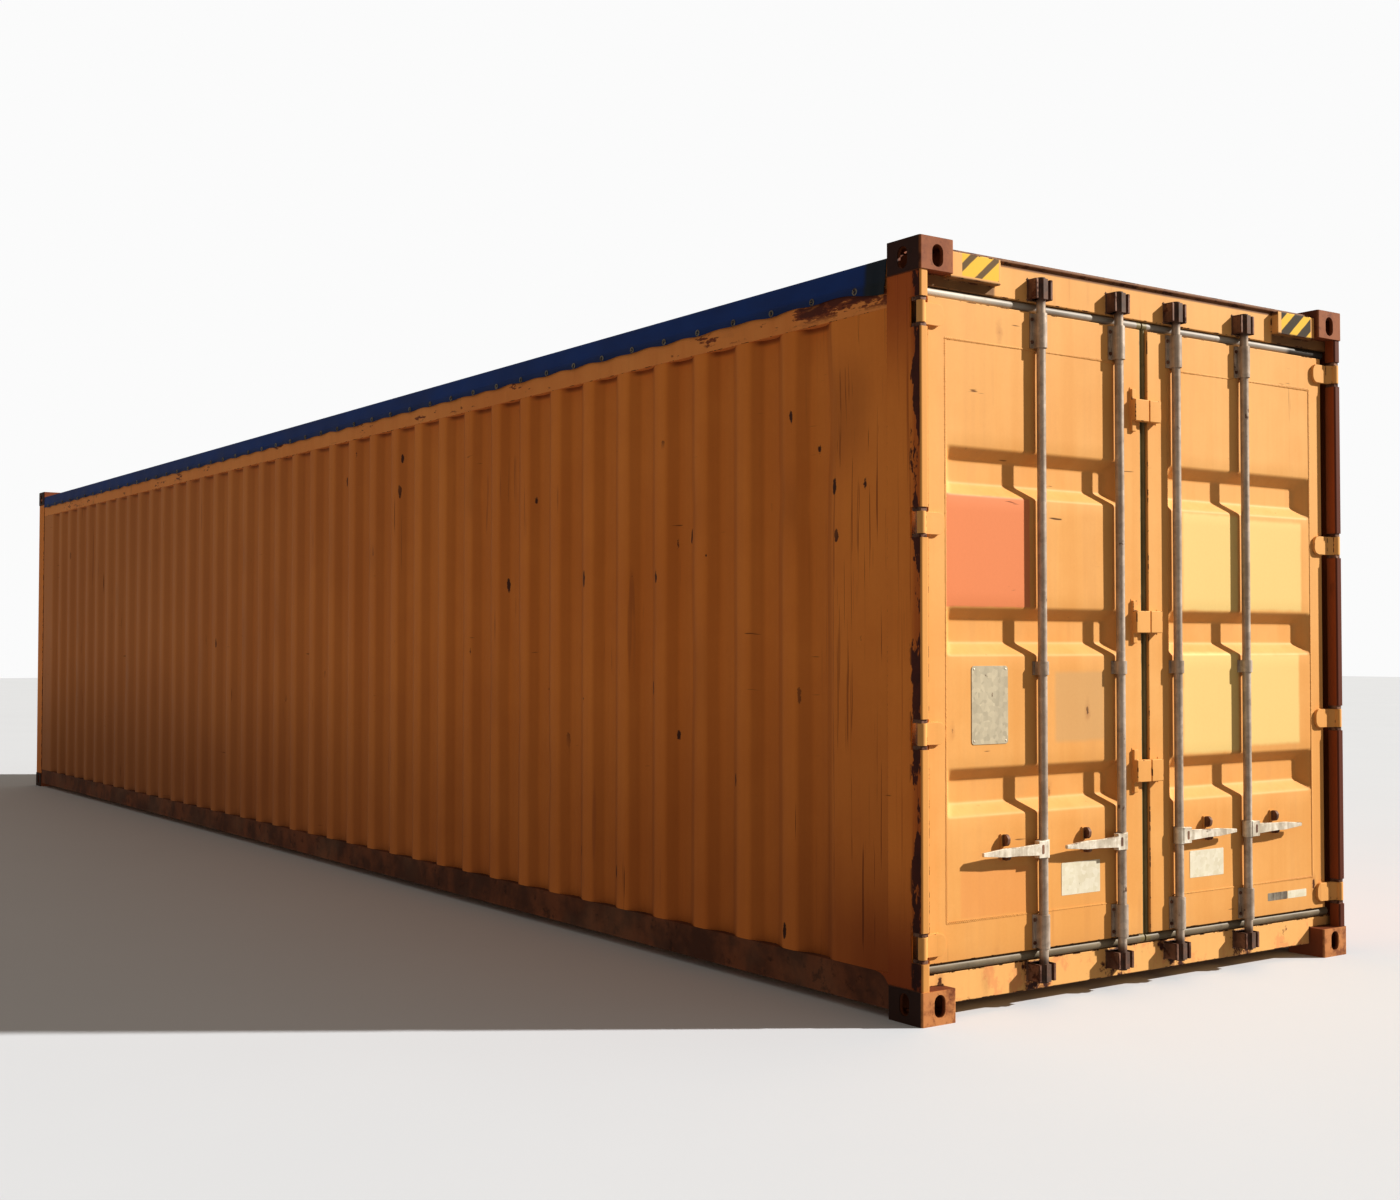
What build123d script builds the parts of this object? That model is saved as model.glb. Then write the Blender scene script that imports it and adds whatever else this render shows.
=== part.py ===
from math import atan2, degrees
import os

from build123d import *

os.makedirs("parts", exist_ok=True)

# A forty-foot open-top shipping container with a tarpaulin roof. Millimetres.
# X runs along it with the doors at +X, Y across it and Z up.
# The origin is at the middle of the base, level with the bottoms of the corner castings.

# Overall size
LENGTH = 12192.0
WIDTH = 2438.0
HEIGHT = 2743.0

# Corner castings, with an oblong twistlock hole and two lashing holes each
CASTING_LENGTH = 178.0
CASTING_WIDTH = 162.0
CASTING_HEIGHT = 118.0
CASTING_FLANGE = 28.0
CASTING_WALL = 16.0
CASTING_INNER_WALL = 10.0
CASTING_EDGE = 9.0
TWISTLOCK_LENGTH = 124.0
TWISTLOCK_WIDTH = 63.5
TWISTLOCK_FROM_END = 103.5
TWISTLOCK_FROM_SIDE = 89.5
LASHING_HEIGHT = 79.5
LASHING_WIDTH = 51.0

# Side walls: sheet steel pressed into trapezoid waves, flush with the rails
FACE_INSET = 8.0
SHEET = 2.0
SIDE_DEPTH = 36.0
SIDE_PITCH = 297.0
SIDE_VALLEY = 76.0
SIDE_SLOPE = 70.0
FLAT_END = 280.0

# Front wall, unseen, with deeper waves
FRONT_DEPTH = 45.6
FRONT_PITCH = 250.0
FRONT_VALLEY = 104.0
FRONT_SLOPE = 18.0
FRONT_FLAT_END = 70.0

# Rails
BOTTOM_RAIL_LOW = 32.0
BOTTOM_RAIL_HEIGHT = 126.0
BOTTOM_RAIL_FLANGE = 52.0
BOTTOM_RAIL_PLATE = 4.5
TOP_RAIL_DROP = 53.0
TOP_RAIL_HEIGHT = 176.0
TOP_RAIL_WIDTH = 60.0
TOP_RAIL_WALL = 4.0

# Corner posts: at the rear a J of bent plate with hinge lugs in it, a box behind the seal and a foot gusset
POST_INSET = 4.0
POST_PLATE = 8.0
POST_LIP = 40.0
POST_RETURN = 46.0
POST_BEND = 10.0
POST_BOX_WALL = 6.0
POST_LANDING = 100.0
LANDING_SETBACK = 118.0
FOOT_GUSSET = 67.0
FRONT_POST_WALL = 60.0

# Base
CROSS_MEMBER_PITCH = 305.0
CROSS_MEMBER_WIDTH = 45.0
CROSS_MEMBER_PLATE = 4.0
FLOOR_THICKNESS = 28.0
FLOOR_SIDE_GAP = 2.0
TUNNEL_WIDTH = 1029.0
TUNNEL_LENGTH = 3315.0
TUNNEL_HEIGHT = 122.0
TUNNEL_PLATE = 6.0

# Doors: two leaves that meet at a seam in the middle
DOOR_SETBACK = 50.0
DOOR_DEPTH = 50.0
DOOR_EDGE = 80.0
DOOR_LOW = 200.0
SEAM = 22.0
OUTER_STILE = 84.0
INNER_STILE = 113.0
DOOR_TOP_MEMBER = 141.0
DOOR_BOTTOM_MEMBER = 135.0
PANEL_STEP = 0.8
GROOVE_DEPTH = 45.0
GROOVE_FLAT = 84.0
GROOVE_SLOPE = 44.0
GROOVE_MARGIN = 4.0
LOW_GROOVE_RISE = 455.0
HIGH_GROOVE_DROP = 467.0
GASKET_WIDTH = 36.0
GASKET_BELOW = 39.5
GASKET_SETBACK = 72.0
GASKET_ROUND = 9.0
SEAM_GAP = 5.0
SEAL_CLEARANCE = 0.3

# Hinges: blades on the doors that turn on pins in notches of the rear posts
HINGE_COUNT = 4
HINGE_END = 67.5
HINGE_HEIGHT = 78.0
HINGE_GAP = 14.0
HINGE_REACH = 148.0
HINGE_END_ROUND = 30.0
BLADE_THICKNESS = 14.0
BLADE_RUN = 22.0
BLADE_HEEL = 12.0
KNUCKLE_RADIUS = 16.0
KNUCKLE_HEEL = 10.0
PIN_RADIUS = 10.0
PIN_CLEARANCE = 0.3
PIN_SETBACK = 20.0
PIN_INBOARD = 22.0
PIN_SEAT = 25.0
LUG_DEPTH = 40.0
NOTCH_DEPTH = 58.0

# Lock bars, their bearings, cams, keepers, handles and catches
OUTER_BAR = 593.0
INNER_BAR = 167.0
BAR_SETBACK = 27.0
BAR_RADIUS = 17.0
BAR_WALL = 3.5
BAR_CLEARANCE = 0.4
BAR_STUB = 6.0
BEARING_RADIUS = 23.0
BEARING_PLATE_WIDTH = 76.0
BEARING_PLATE = 6.0
BEARING_MARGIN = 6.0
GUIDE_HEIGHT = 50.0
GUIDE_PLATE_WIDTH = 60.0
GUIDE_BELOW_GROOVE = 134.0
CAM_RADIUS = 18.0
CAM_LOBE = 25.0
CAM_LOBE_WIDTH = 24.0
KEEPER_OPENING = 60.0
KEEPER_ARM = 14.0
KEEPER_BASE = 4.0
KEEPER_FRONT = 8.0
UPPER_KEEPER_RISE = 7.7
UPPER_KEEPER_HEIGHT = 76.0
LOWER_KEEPER_LOW = 87.0
LOWER_KEEPER_HEIGHT = 64.0
HANDLE_LEVEL = 570.0
HANDLE_LENGTH = 325.0
HANDLE_ROOT = 46.0
HANDLE_NECK = 150.0
HANDLE_HEIGHT = 32.0
HANDLE_TIP = 13.0
HANDLE_TIP_ROUND = 5.0
HANDLE_TAPER = 110.0
HANDLE_THICKNESS = 12.0
HANDLE_FRONT = 3.0
HUB_RADIUS = 22.0
HUB_HEIGHT = 66.0
HUB_PLATE_LENGTH = 46.0
HUB_PLATE_HEIGHT = 62.0
CATCH_OFFSET = 185.0
CATCH_WIDTH = 26.0
CATCH_PLATE = 5.0
CATCH_GAP = 0.8
CATCH_SHELF = 14.0
CATCH_TAB = 46.0
CATCH_NOSE = 14.0
CATCH_ROUND = 8.0

# Rack blocks: halves on the two doors that meet in front of the seam
LOW_RACK_RISE = 630.0
MIDDLE_RACK_RISE = 1205.0
HIGH_RACK_DROP = 320.0
RACK_LEFT = 81.0
RACK_RIGHT = 69.0
RACK_HEIGHT = 85.0
RACK_THICKNESS = 30.0
RACK_FLANGE_HEIGHT = 165.0
RACK_FLANGE_WIDTH = 24.0
RACK_FLANGE_THICKNESS = 12.0

# Header over the doors and sill under them
HEADER_SETBACK = 52.0
HEADER_DROP = 19.0
HEADER_HEIGHT = 141.7
HEADER_LIP = 32.0
HEADER_CAP = 14.0
HEADER_CAP_REACH = 10.0
HEADER_BLOCK_GAP = 170.0
HEADER_BLOCK_REACH = 34.0
HEADER_BLOCK_RISE = 34.0
SILL_SETBACK = 70.0
SILL_LOW = 50.0

# Roof: bows across the top rails, with a tarpaulin drawn over them
BOW_COUNT = 19
BOW_WIDTH = 40.0
BOW_HEIGHT = 25.0
BOW_DROP = 25.0
BOW_RISE = 45.0
TARP_THICKNESS = 3.0
TARP_GAP = 0.5
TARP_SKIRT = 96.0
TARP_END_GAP = 4.0

# Worked out from the above
HALF_LENGTH = LENGTH / 2
HALF_WIDTH = WIDTH / 2
BODY_LENGTH = LENGTH - 2 * CASTING_LENGTH
BODY_WIDTH = WIDTH - 2 * CASTING_WIDTH
BASE_TOP = BOTTOM_RAIL_LOW + BOTTOM_RAIL_HEIGHT
FLOOR_TOP = BASE_TOP + FLOOR_THICKNESS
TOP_RAIL_TOP = HEIGHT - TOP_RAIL_DROP
TOP_RAIL_LOW = TOP_RAIL_TOP - TOP_RAIL_HEIGHT
TOP_RAIL_MIDDLE = TOP_RAIL_TOP - TOP_RAIL_HEIGHT / 2
CASTING_LOW = HEIGHT - CASTING_HEIGHT
POST_HEIGHT = CASTING_LOW - CASTING_HEIGHT
PLATE_INSIDE = POST_INSET + POST_PLATE
LIP_INSIDE = POST_INSET + POST_LIP
RETURN_END = POST_INSET + POST_RETURN
HEADER_TOP = HEIGHT - HEADER_DROP
HEADER_LOW = HEADER_TOP - HEADER_HEIGHT
SILL_TOP = DOOR_LOW - GASKET_BELOW - SEAL_CLEARANCE
DOOR_TOP = HEADER_LOW - SEAL_CLEARANCE - GASKET_WIDTH
DOOR_HEIGHT = DOOR_TOP - DOOR_LOW
DOOR_BACK = DOOR_SETBACK + DOOR_DEPTH
PANEL_FACE = DOOR_SETBACK + PANEL_STEP
PANEL_LOW = DOOR_LOW + DOOR_BOTTOM_MEMBER
PANEL_HIGH = DOOR_TOP - DOOR_TOP_MEMBER
LOW_GROOVE = PANEL_LOW + LOW_GROOVE_RISE
HIGH_GROOVE = PANEL_HIGH - HIGH_GROOVE_DROP
MIDDLE_GROOVE = (LOW_GROOVE + HIGH_GROOVE) / 2
HINGE_PITCH = (DOOR_HEIGHT - 2 * HINGE_END) / (HINGE_COUNT - 1)
HINGE_LEVELS = [DOOR_LOW + HINGE_END + i * HINGE_PITCH for i in range(HINGE_COUNT)]
NOTCH_HEIGHT = HINGE_HEIGHT + 2 * HINGE_GAP
UPPER_KEEPER_LOW = HEADER_LOW + UPPER_KEEPER_RISE
BAR_LOW = LOWER_KEEPER_LOW - BAR_STUB
BAR_HIGH = UPPER_KEEPER_LOW + UPPER_KEEPER_HEIGHT + BAR_STUB
KEEPER_WIDTH = KEEPER_OPENING + 2 * KEEPER_ARM
BAR_PLACES = {
    "left_outer": -OUTER_BAR,
    "left_inner": -INNER_BAR,
    "right_inner": INNER_BAR,
    "right_outer": OUTER_BAR,
}
RACK_LEVELS = (DOOR_LOW + LOW_RACK_RISE, DOOR_LOW + MIDDLE_RACK_RISE, DOOR_TOP - HIGH_RACK_DROP)
SIDES = (("left", -1), ("right", 1))


def behind(setback):
    """X of a place that lies this far in from the door-end faces of the castings."""
    return HALF_LENGTH - setback


def ahead(setback):
    """X of a place that lies this far in from the front faces of the castings."""
    return setback - HALF_LENGTH


def inboard(side, distance):
    """Y of a place that lies this far in from the side faces of the castings."""
    return side * (HALF_WIDTH - distance)


def save(builder, name):
    builder.part.label = name
    export_step(builder.part, f"parts/{name}.step")


def wave(span, pitch, flat_end, valley, slope, depth):
    """Points (along, depth) of a pressed sheet's outer line, its valleys spread evenly about the middle."""
    count = int((span - 2 * flat_end - valley - 2 * slope) / pitch) + 1
    points = [(-span / 2, 0.0)]
    for i in range(count):
        middle = (i - (count - 1) / 2) * pitch
        points += [(middle - valley / 2 - slope, 0.0), (middle - valley / 2, depth)]
        points += [(middle + valley / 2, depth), (middle + valley / 2 + slope, 0.0)]
    return points + [(span / 2, 0.0)]


# Corner castings, hollow, four below and four above

def casting_row(level, flange_level, cavity_level):
    """Four castings with their bottoms at one level."""
    cavity_length = CASTING_LENGTH - CASTING_WALL - CASTING_INNER_WALL
    cavity_width = CASTING_WIDTH - CASTING_WALL - CASTING_INNER_WALL
    cavity_height = CASTING_HEIGHT - CASTING_FLANGE - CASTING_WALL
    hole_level = level + cavity_level + cavity_height / 2
    lashing_from_side = CASTING_WALL + cavity_width / 2
    lashing_from_end = CASTING_WALL + cavity_length / 2
    with BuildPart() as castings:
        with Locations((0, 0, level)):
            with GridLocations(LENGTH - CASTING_LENGTH, WIDTH - CASTING_WIDTH, 2, 2):
                Box(CASTING_LENGTH, CASTING_WIDTH, CASTING_HEIGHT,
                    align=(Align.CENTER, Align.CENTER, Align.MIN))
        fillet(castings.edges().filter_by(Axis.Z), CASTING_EDGE)
        with Locations((0, 0, level + cavity_level)):
            with GridLocations(LENGTH - 2 * lashing_from_end, WIDTH - 2 * lashing_from_side, 2, 2):
                Box(cavity_length, cavity_width, cavity_height,
                    align=(Align.CENTER, Align.CENTER, Align.MIN), mode=Mode.SUBTRACT)
        with BuildSketch(Plane.XY.offset(level + flange_level)):
            with GridLocations(LENGTH - 2 * TWISTLOCK_FROM_END, WIDTH - 2 * TWISTLOCK_FROM_SIDE, 2, 2):
                SlotOverall(TWISTLOCK_LENGTH, TWISTLOCK_WIDTH)
        extrude(amount=CASTING_FLANGE, mode=Mode.SUBTRACT)
        for end in (-1, 1):
            with BuildSketch(Plane.YZ.offset(end * HALF_LENGTH)):
                with Locations(*[(inboard(side, lashing_from_side), hole_level) for side in (-1, 1)]):
                    SlotOverall(LASHING_HEIGHT, LASHING_WIDTH, rotation=90)
            extrude(amount=-end * CASTING_WALL, mode=Mode.SUBTRACT)
        for side in (-1, 1):
            with BuildSketch(Plane.XZ.offset(-side * HALF_WIDTH)):
                with Locations((ahead(lashing_from_end), hole_level), (behind(lashing_from_end), hole_level)):
                    SlotOverall(LASHING_HEIGHT, LASHING_WIDTH, rotation=90)
            extrude(amount=side * CASTING_WALL, mode=Mode.SUBTRACT)
    return castings


save(casting_row(0.0, 0.0, CASTING_FLANGE), "bottom_castings")
save(casting_row(HEIGHT - CASTING_HEIGHT, CASTING_HEIGHT - CASTING_FLANGE, CASTING_WALL), "top_castings")

# Rear corner posts: a J of bent plate with hinge notches, lugs that hold the pins, a box for the door seal

for name, side in SIDES:
    with BuildPart() as rear_post:
        with BuildSketch(Plane.XY.offset(CASTING_HEIGHT)) as post_outline:
            with BuildLine():
                Polyline(
                    (behind(POST_INSET), inboard(side, POST_INSET)),
                    (behind(POST_INSET), inboard(side, LIP_INSIDE)),
                    (behind(RETURN_END), inboard(side, LIP_INSIDE)),
                    (behind(RETURN_END), inboard(side, LIP_INSIDE - POST_PLATE)),
                    (behind(PLATE_INSIDE), inboard(side, LIP_INSIDE - POST_PLATE)),
                    (behind(PLATE_INSIDE), inboard(side, PLATE_INSIDE)),
                    (behind(LANDING_SETBACK), inboard(side, PLATE_INSIDE)),
                    (behind(LANDING_SETBACK), inboard(side, POST_LANDING)),
                    (behind(CASTING_LENGTH), inboard(side, POST_LANDING)),
                    (behind(CASTING_LENGTH), inboard(side, POST_INSET)),
                    close=True,
                )
            make_face()
            fillet(post_outline.vertices().group_by(Axis.X)[-1], POST_BEND)
            box_depth = CASTING_LENGTH - LANDING_SETBACK
            box_width = POST_LANDING - POST_INSET
            box_x = behind(LANDING_SETBACK + box_depth / 2)
            with Locations((box_x, inboard(side, POST_INSET + box_width / 2))):
                Rectangle(box_depth - 2 * POST_BOX_WALL, box_width - 2 * POST_BOX_WALL, mode=Mode.SUBTRACT)
        extrude(amount=POST_HEIGHT)
        lug_x = behind((PLATE_INSIDE + LUG_DEPTH) / 2)
        lug_y = inboard(side, POST_INSET + POST_LIP / 2)
        for level in HINGE_LEVELS:
            with Locations((lug_x, lug_y, level)):
                Box(LUG_DEPTH - PLATE_INSIDE, POST_LIP - 2 * POST_PLATE, NOTCH_HEIGHT + 2 * PIN_SEAT)
            with Locations((behind(NOTCH_DEPTH / 2), inboard(side, LIP_INSIDE / 2), level)):
                Box(NOTCH_DEPTH, LIP_INSIDE, NOTCH_HEIGHT, mode=Mode.SUBTRACT)
            with Locations((behind(PIN_SETBACK), inboard(side, PIN_INBOARD), level)):
                Cylinder(PIN_RADIUS, NOTCH_HEIGHT + 2 * PIN_SEAT, mode=Mode.SUBTRACT)
        gusset_back = FACE_INSET if side < 0 else POST_INSET
        with BuildSketch(Plane.XZ.offset(-inboard(side, gusset_back))):
            with BuildLine():
                foot = (behind(CASTING_LENGTH), CASTING_HEIGHT)
                heel = (behind(CASTING_LENGTH), BASE_TOP)
                toe = (behind(CASTING_LENGTH + FOOT_GUSSET), BASE_TOP)
                Polyline(foot, heel, toe)
                TangentArc(toe, foot, tangent=(1, 0))
            make_face()
        extrude(amount=FACE_INSET - POST_INSET)
    save(rear_post, f"{name}_rear_post")

with BuildPart() as hinge_pins:
    for side in (-1, 1):
        for level in HINGE_LEVELS:
            with Locations((behind(PIN_SETBACK), inboard(side, PIN_INBOARD), level)):
                Cylinder(PIN_RADIUS, NOTCH_HEIGHT + 2 * PIN_SEAT)
save(hinge_pins, "hinge_pins")

# Front corner posts: angles

with BuildPart() as front_posts:
    for side in (-1, 1):
        with BuildSketch(Plane.XY.offset(CASTING_HEIGHT)):
            with BuildLine():
                Polyline(
                    (ahead(POST_INSET), inboard(side, POST_INSET)),
                    (ahead(CASTING_LENGTH), inboard(side, POST_INSET)),
                    (ahead(CASTING_LENGTH), inboard(side, FRONT_POST_WALL)),
                    (ahead(FRONT_POST_WALL), inboard(side, FRONT_POST_WALL)),
                    (ahead(FRONT_POST_WALL), inboard(side, CASTING_WIDTH)),
                    (ahead(POST_INSET), inboard(side, CASTING_WIDTH)),
                    close=True,
                )
            make_face()
        extrude(amount=POST_HEIGHT)
save(front_posts, "front_posts")

# Side walls, top rails and bottom rails

def tube_outline():
    """Hollow section of the top rails."""
    Rectangle(TOP_RAIL_WIDTH, TOP_RAIL_HEIGHT)
    Rectangle(TOP_RAIL_WIDTH - 2 * TOP_RAIL_WALL, TOP_RAIL_HEIGHT - 2 * TOP_RAIL_WALL, mode=Mode.SUBTRACT)


for name, side in SIDES:
    outer = wave(BODY_LENGTH, SIDE_PITCH, FLAT_END, SIDE_VALLEY, SIDE_SLOPE, SIDE_DEPTH)
    with BuildPart() as side_wall:
        with BuildSketch(Plane.XY.offset(BASE_TOP)):
            with BuildLine():
                Polyline(
                    *[(x, inboard(side, FACE_INSET + depth)) for x, depth in outer],
                    *[(x, inboard(side, FACE_INSET + SHEET + depth)) for x, depth in reversed(outer)],
                    close=True,
                )
            make_face()
        extrude(amount=TOP_RAIL_LOW - BASE_TOP)
    save(side_wall, f"{name}_side_wall")

    with BuildPart() as top_rail:
        with BuildSketch(Plane.YZ.offset(-BODY_LENGTH / 2)):
            with Locations((inboard(side, FACE_INSET + TOP_RAIL_WIDTH / 2), TOP_RAIL_MIDDLE)):
                tube_outline()
        extrude(amount=BODY_LENGTH)
    save(top_rail, f"{name}_top_rail")

    with BuildPart() as bottom_rail:
        rail_middle = BOTTOM_RAIL_LOW + BOTTOM_RAIL_HEIGHT / 2
        web_inside = FACE_INSET + BOTTOM_RAIL_PLATE
        opening = BOTTOM_RAIL_FLANGE - BOTTOM_RAIL_PLATE
        with BuildSketch(Plane.YZ.offset(-BODY_LENGTH / 2)):
            with Locations((inboard(side, FACE_INSET + BOTTOM_RAIL_FLANGE / 2), rail_middle)):
                Rectangle(BOTTOM_RAIL_FLANGE, BOTTOM_RAIL_HEIGHT)
            with Locations((inboard(side, web_inside + opening / 2), rail_middle)):
                Rectangle(opening, BOTTOM_RAIL_HEIGHT - 2 * BOTTOM_RAIL_PLATE, mode=Mode.SUBTRACT)
        extrude(amount=BODY_LENGTH)
    save(bottom_rail, f"{name}_bottom_rail")

# Front wall, with a rail over it and a sill under it that the gooseneck tunnel cuts into

front_line = wave(BODY_WIDTH, FRONT_PITCH, FRONT_FLAT_END, FRONT_VALLEY, FRONT_SLOPE, FRONT_DEPTH)
with BuildPart() as front_wall:
    with BuildSketch(Plane.XY.offset(BASE_TOP)):
        with BuildLine():
            Polyline(
                *[(ahead(FACE_INSET + depth), y) for y, depth in front_line],
                *[(ahead(FACE_INSET + SHEET + depth), y) for y, depth in reversed(front_line)],
                close=True,
            )
        make_face()
    extrude(amount=TOP_RAIL_LOW - BASE_TOP)
save(front_wall, "front_wall")

with BuildPart() as front_top_rail:
    with BuildSketch(Plane.XZ.offset(-BODY_WIDTH / 2)):
        with Locations((ahead(FACE_INSET + TOP_RAIL_WIDTH / 2), TOP_RAIL_MIDDLE)):
            tube_outline()
    extrude(amount=BODY_WIDTH)
save(front_top_rail, "front_top_rail")

with BuildPart() as front_sill:
    with Locations((ahead(FACE_INSET + TOP_RAIL_WIDTH / 2), 0, BOTTOM_RAIL_LOW)):
        Box(TOP_RAIL_WIDTH, BODY_WIDTH, BOTTOM_RAIL_HEIGHT, align=(Align.CENTER, Align.CENTER, Align.MIN))
    with Locations((ahead(FACE_INSET + TOP_RAIL_WIDTH / 2), 0, 0)):
        Box(TOP_RAIL_WIDTH, TUNNEL_WIDTH + 2 * TUNNEL_PLATE, TUNNEL_HEIGHT + TUNNEL_PLATE,
            align=(Align.CENTER, Align.CENTER, Align.MIN), mode=Mode.SUBTRACT)
save(front_sill, "front_sill")

# Base: gooseneck tunnel, cross members and floor

with BuildPart() as tunnel:
    with BuildSketch(Plane.YZ.offset(ahead(FACE_INSET))):
        with Locations((0, BOTTOM_RAIL_LOW)):
            Rectangle(TUNNEL_WIDTH + 2 * TUNNEL_PLATE, TUNNEL_HEIGHT + TUNNEL_PLATE - BOTTOM_RAIL_LOW,
                      align=(Align.CENTER, Align.MIN))
            Rectangle(TUNNEL_WIDTH, TUNNEL_HEIGHT - BOTTOM_RAIL_LOW,
                      align=(Align.CENTER, Align.MIN), mode=Mode.SUBTRACT)
    extrude(amount=TUNNEL_LENGTH)
save(tunnel, "gooseneck_tunnel")

RAIL_WEB = HALF_WIDTH - FACE_INSET - BOTTOM_RAIL_PLATE
TUNNEL_SIDE = TUNNEL_WIDTH / 2 + TUNNEL_PLATE
TUNNEL_END = ahead(FACE_INSET) + TUNNEL_LENGTH
FIRST_MEMBER = ahead(CASTING_LENGTH) + CROSS_MEMBER_PITCH / 2
MEMBER_COUNT = int((behind(CASTING_LENGTH) - CROSS_MEMBER_WIDTH - FIRST_MEMBER) / CROSS_MEMBER_PITCH) + 1
MEMBER_PLACES = [FIRST_MEMBER + i * CROSS_MEMBER_PITCH for i in range(MEMBER_COUNT)]
MEMBER_HEIGHT = BOTTOM_RAIL_HEIGHT - 2 * BOTTOM_RAIL_PLATE
MEMBER_LEVEL = BOTTOM_RAIL_LOW + BOTTOM_RAIL_HEIGHT / 2


def channel_outline(height):
    """Channel section of a cross member, with its back on the sketch's own Y axis."""
    Rectangle(CROSS_MEMBER_WIDTH, height, align=(Align.MIN, Align.CENTER))
    with Locations((CROSS_MEMBER_PLATE, 0)):
        Rectangle(CROSS_MEMBER_WIDTH - CROSS_MEMBER_PLATE, height - 2 * CROSS_MEMBER_PLATE,
                  align=(Align.MIN, Align.CENTER), mode=Mode.SUBTRACT)


with BuildPart() as cross_members:
    for x in MEMBER_PLACES:
        over_tunnel = x < TUNNEL_END + CROSS_MEMBER_WIDTH
        spans = [(-RAIL_WEB, RAIL_WEB)]
        if over_tunnel:
            spans = [(-RAIL_WEB, -TUNNEL_SIDE), (TUNNEL_SIDE, RAIL_WEB)]
        for low, high in spans:
            with BuildSketch(Plane((x, high, MEMBER_LEVEL), x_dir=(1, 0, 0), z_dir=(0, -1, 0))):
                channel_outline(MEMBER_HEIGHT)
            extrude(amount=high - low)
        if over_tunnel:
            rise = BASE_TOP - TUNNEL_HEIGHT - TUNNEL_PLATE
            with Locations((x + CROSS_MEMBER_WIDTH / 2, 0, TUNNEL_HEIGHT + TUNNEL_PLATE)):
                Box(CROSS_MEMBER_WIDTH, TUNNEL_WIDTH, rise, align=(Align.CENTER, Align.CENTER, Align.MIN))
save(cross_members, "cross_members")

with BuildPart() as floor:
    floor_inset = FACE_INSET + SIDE_DEPTH + SHEET + FLOOR_SIDE_GAP
    floor_start = ahead(FACE_INSET + TOP_RAIL_WIDTH)
    floor_length = behind(CASTING_LENGTH) - floor_start
    with Locations((floor_start, 0, BASE_TOP)):
        Box(floor_length, WIDTH - 2 * floor_inset, FLOOR_THICKNESS,
            align=(Align.MIN, Align.CENTER, Align.MIN))
    for side in (-1, 1):
        corner_y = inboard(side, FRONT_POST_WALL + FLOOR_SIDE_GAP)
        with Locations((ahead(CASTING_LENGTH + FLOOR_SIDE_GAP), corner_y, BASE_TOP)):
            Box(CASTING_LENGTH, FRONT_POST_WALL, FLOOR_THICKNESS, mode=Mode.SUBTRACT,
                align=(Align.MAX, Align.MIN if side > 0 else Align.MAX, Align.MIN))
save(floor, "floor")

# Sill and header: beams between the castings, narrower parts that reach to the posts, a landing each

def beam(depth_from, depth_to, low, high, end_inset):
    """A straight run of a beam across the door end, given by setbacks, levels and how far its ends lie in."""
    run = WIDTH - 2 * end_inset
    with Locations((behind((depth_from + depth_to) / 2), 0, (low + high) / 2)):
        Box(depth_to - depth_from, run, high - low)


with BuildPart() as door_sill:
    beam(SILL_SETBACK, CASTING_LENGTH, SILL_LOW, CASTING_HEIGHT, CASTING_WIDTH)
    beam(SILL_SETBACK, LANDING_SETBACK, CASTING_HEIGHT, SILL_TOP, PLATE_INSIDE)
    beam(LANDING_SETBACK, CASTING_LENGTH, CASTING_HEIGHT, FLOOR_TOP, POST_LANDING)
save(door_sill, "door_sill")

with BuildPart() as door_header:
    beam(HEADER_SETBACK, CASTING_LENGTH, CASTING_LOW, HEADER_TOP, CASTING_WIDTH)
    beam(HEADER_SETBACK, LANDING_SETBACK, HEADER_LOW, CASTING_LOW, PLATE_INSIDE)
    beam(LANDING_SETBACK, CASTING_LENGTH, HEADER_LOW - HEADER_LIP, CASTING_LOW, POST_LANDING)
    cap_front = HEADER_SETBACK - HEADER_CAP_REACH
    beam(cap_front, HEADER_SETBACK, HEADER_TOP - HEADER_CAP, HEADER_TOP, CASTING_WIDTH)
    block_low = HEADER_LOW + HEADER_BLOCK_RISE
    block_high = HEADER_TOP - HEADER_CAP
    block_width = HALF_WIDTH - CASTING_WIDTH - OUTER_BAR - KEEPER_WIDTH / 2 - HEADER_BLOCK_GAP
    for side in (-1, 1):
        with Locations((behind(HEADER_SETBACK - HEADER_BLOCK_REACH / 2),
                        inboard(side, CASTING_WIDTH + block_width / 2), (block_low + block_high) / 2)):
            Box(HEADER_BLOCK_REACH, block_width, block_high - block_low)
save(door_header, "door_header")

# Keepers for the lock-bar cams: a base and two arms each, on the header and the sill

with BuildPart() as cam_keepers:
    upper = (UPPER_KEEPER_LOW, UPPER_KEEPER_HEIGHT, HEADER_SETBACK)
    lower = (LOWER_KEEPER_LOW, LOWER_KEEPER_HEIGHT, SILL_SETBACK)
    for low, height, seat in (upper, lower):
        with BuildSketch(Plane.XY.offset(low)):
            with Locations(*[(behind(seat), y) for y in BAR_PLACES.values()]):
                Rectangle(seat - KEEPER_FRONT, KEEPER_WIDTH, align=(Align.MIN, Align.CENTER))
            with Locations(*[(behind(seat - KEEPER_BASE), y) for y in BAR_PLACES.values()]):
                Rectangle(seat, KEEPER_OPENING, align=(Align.MIN, Align.CENTER), mode=Mode.SUBTRACT)
        extrude(amount=height)
save(cam_keepers, "cam_keepers")

# Door leaves

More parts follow.
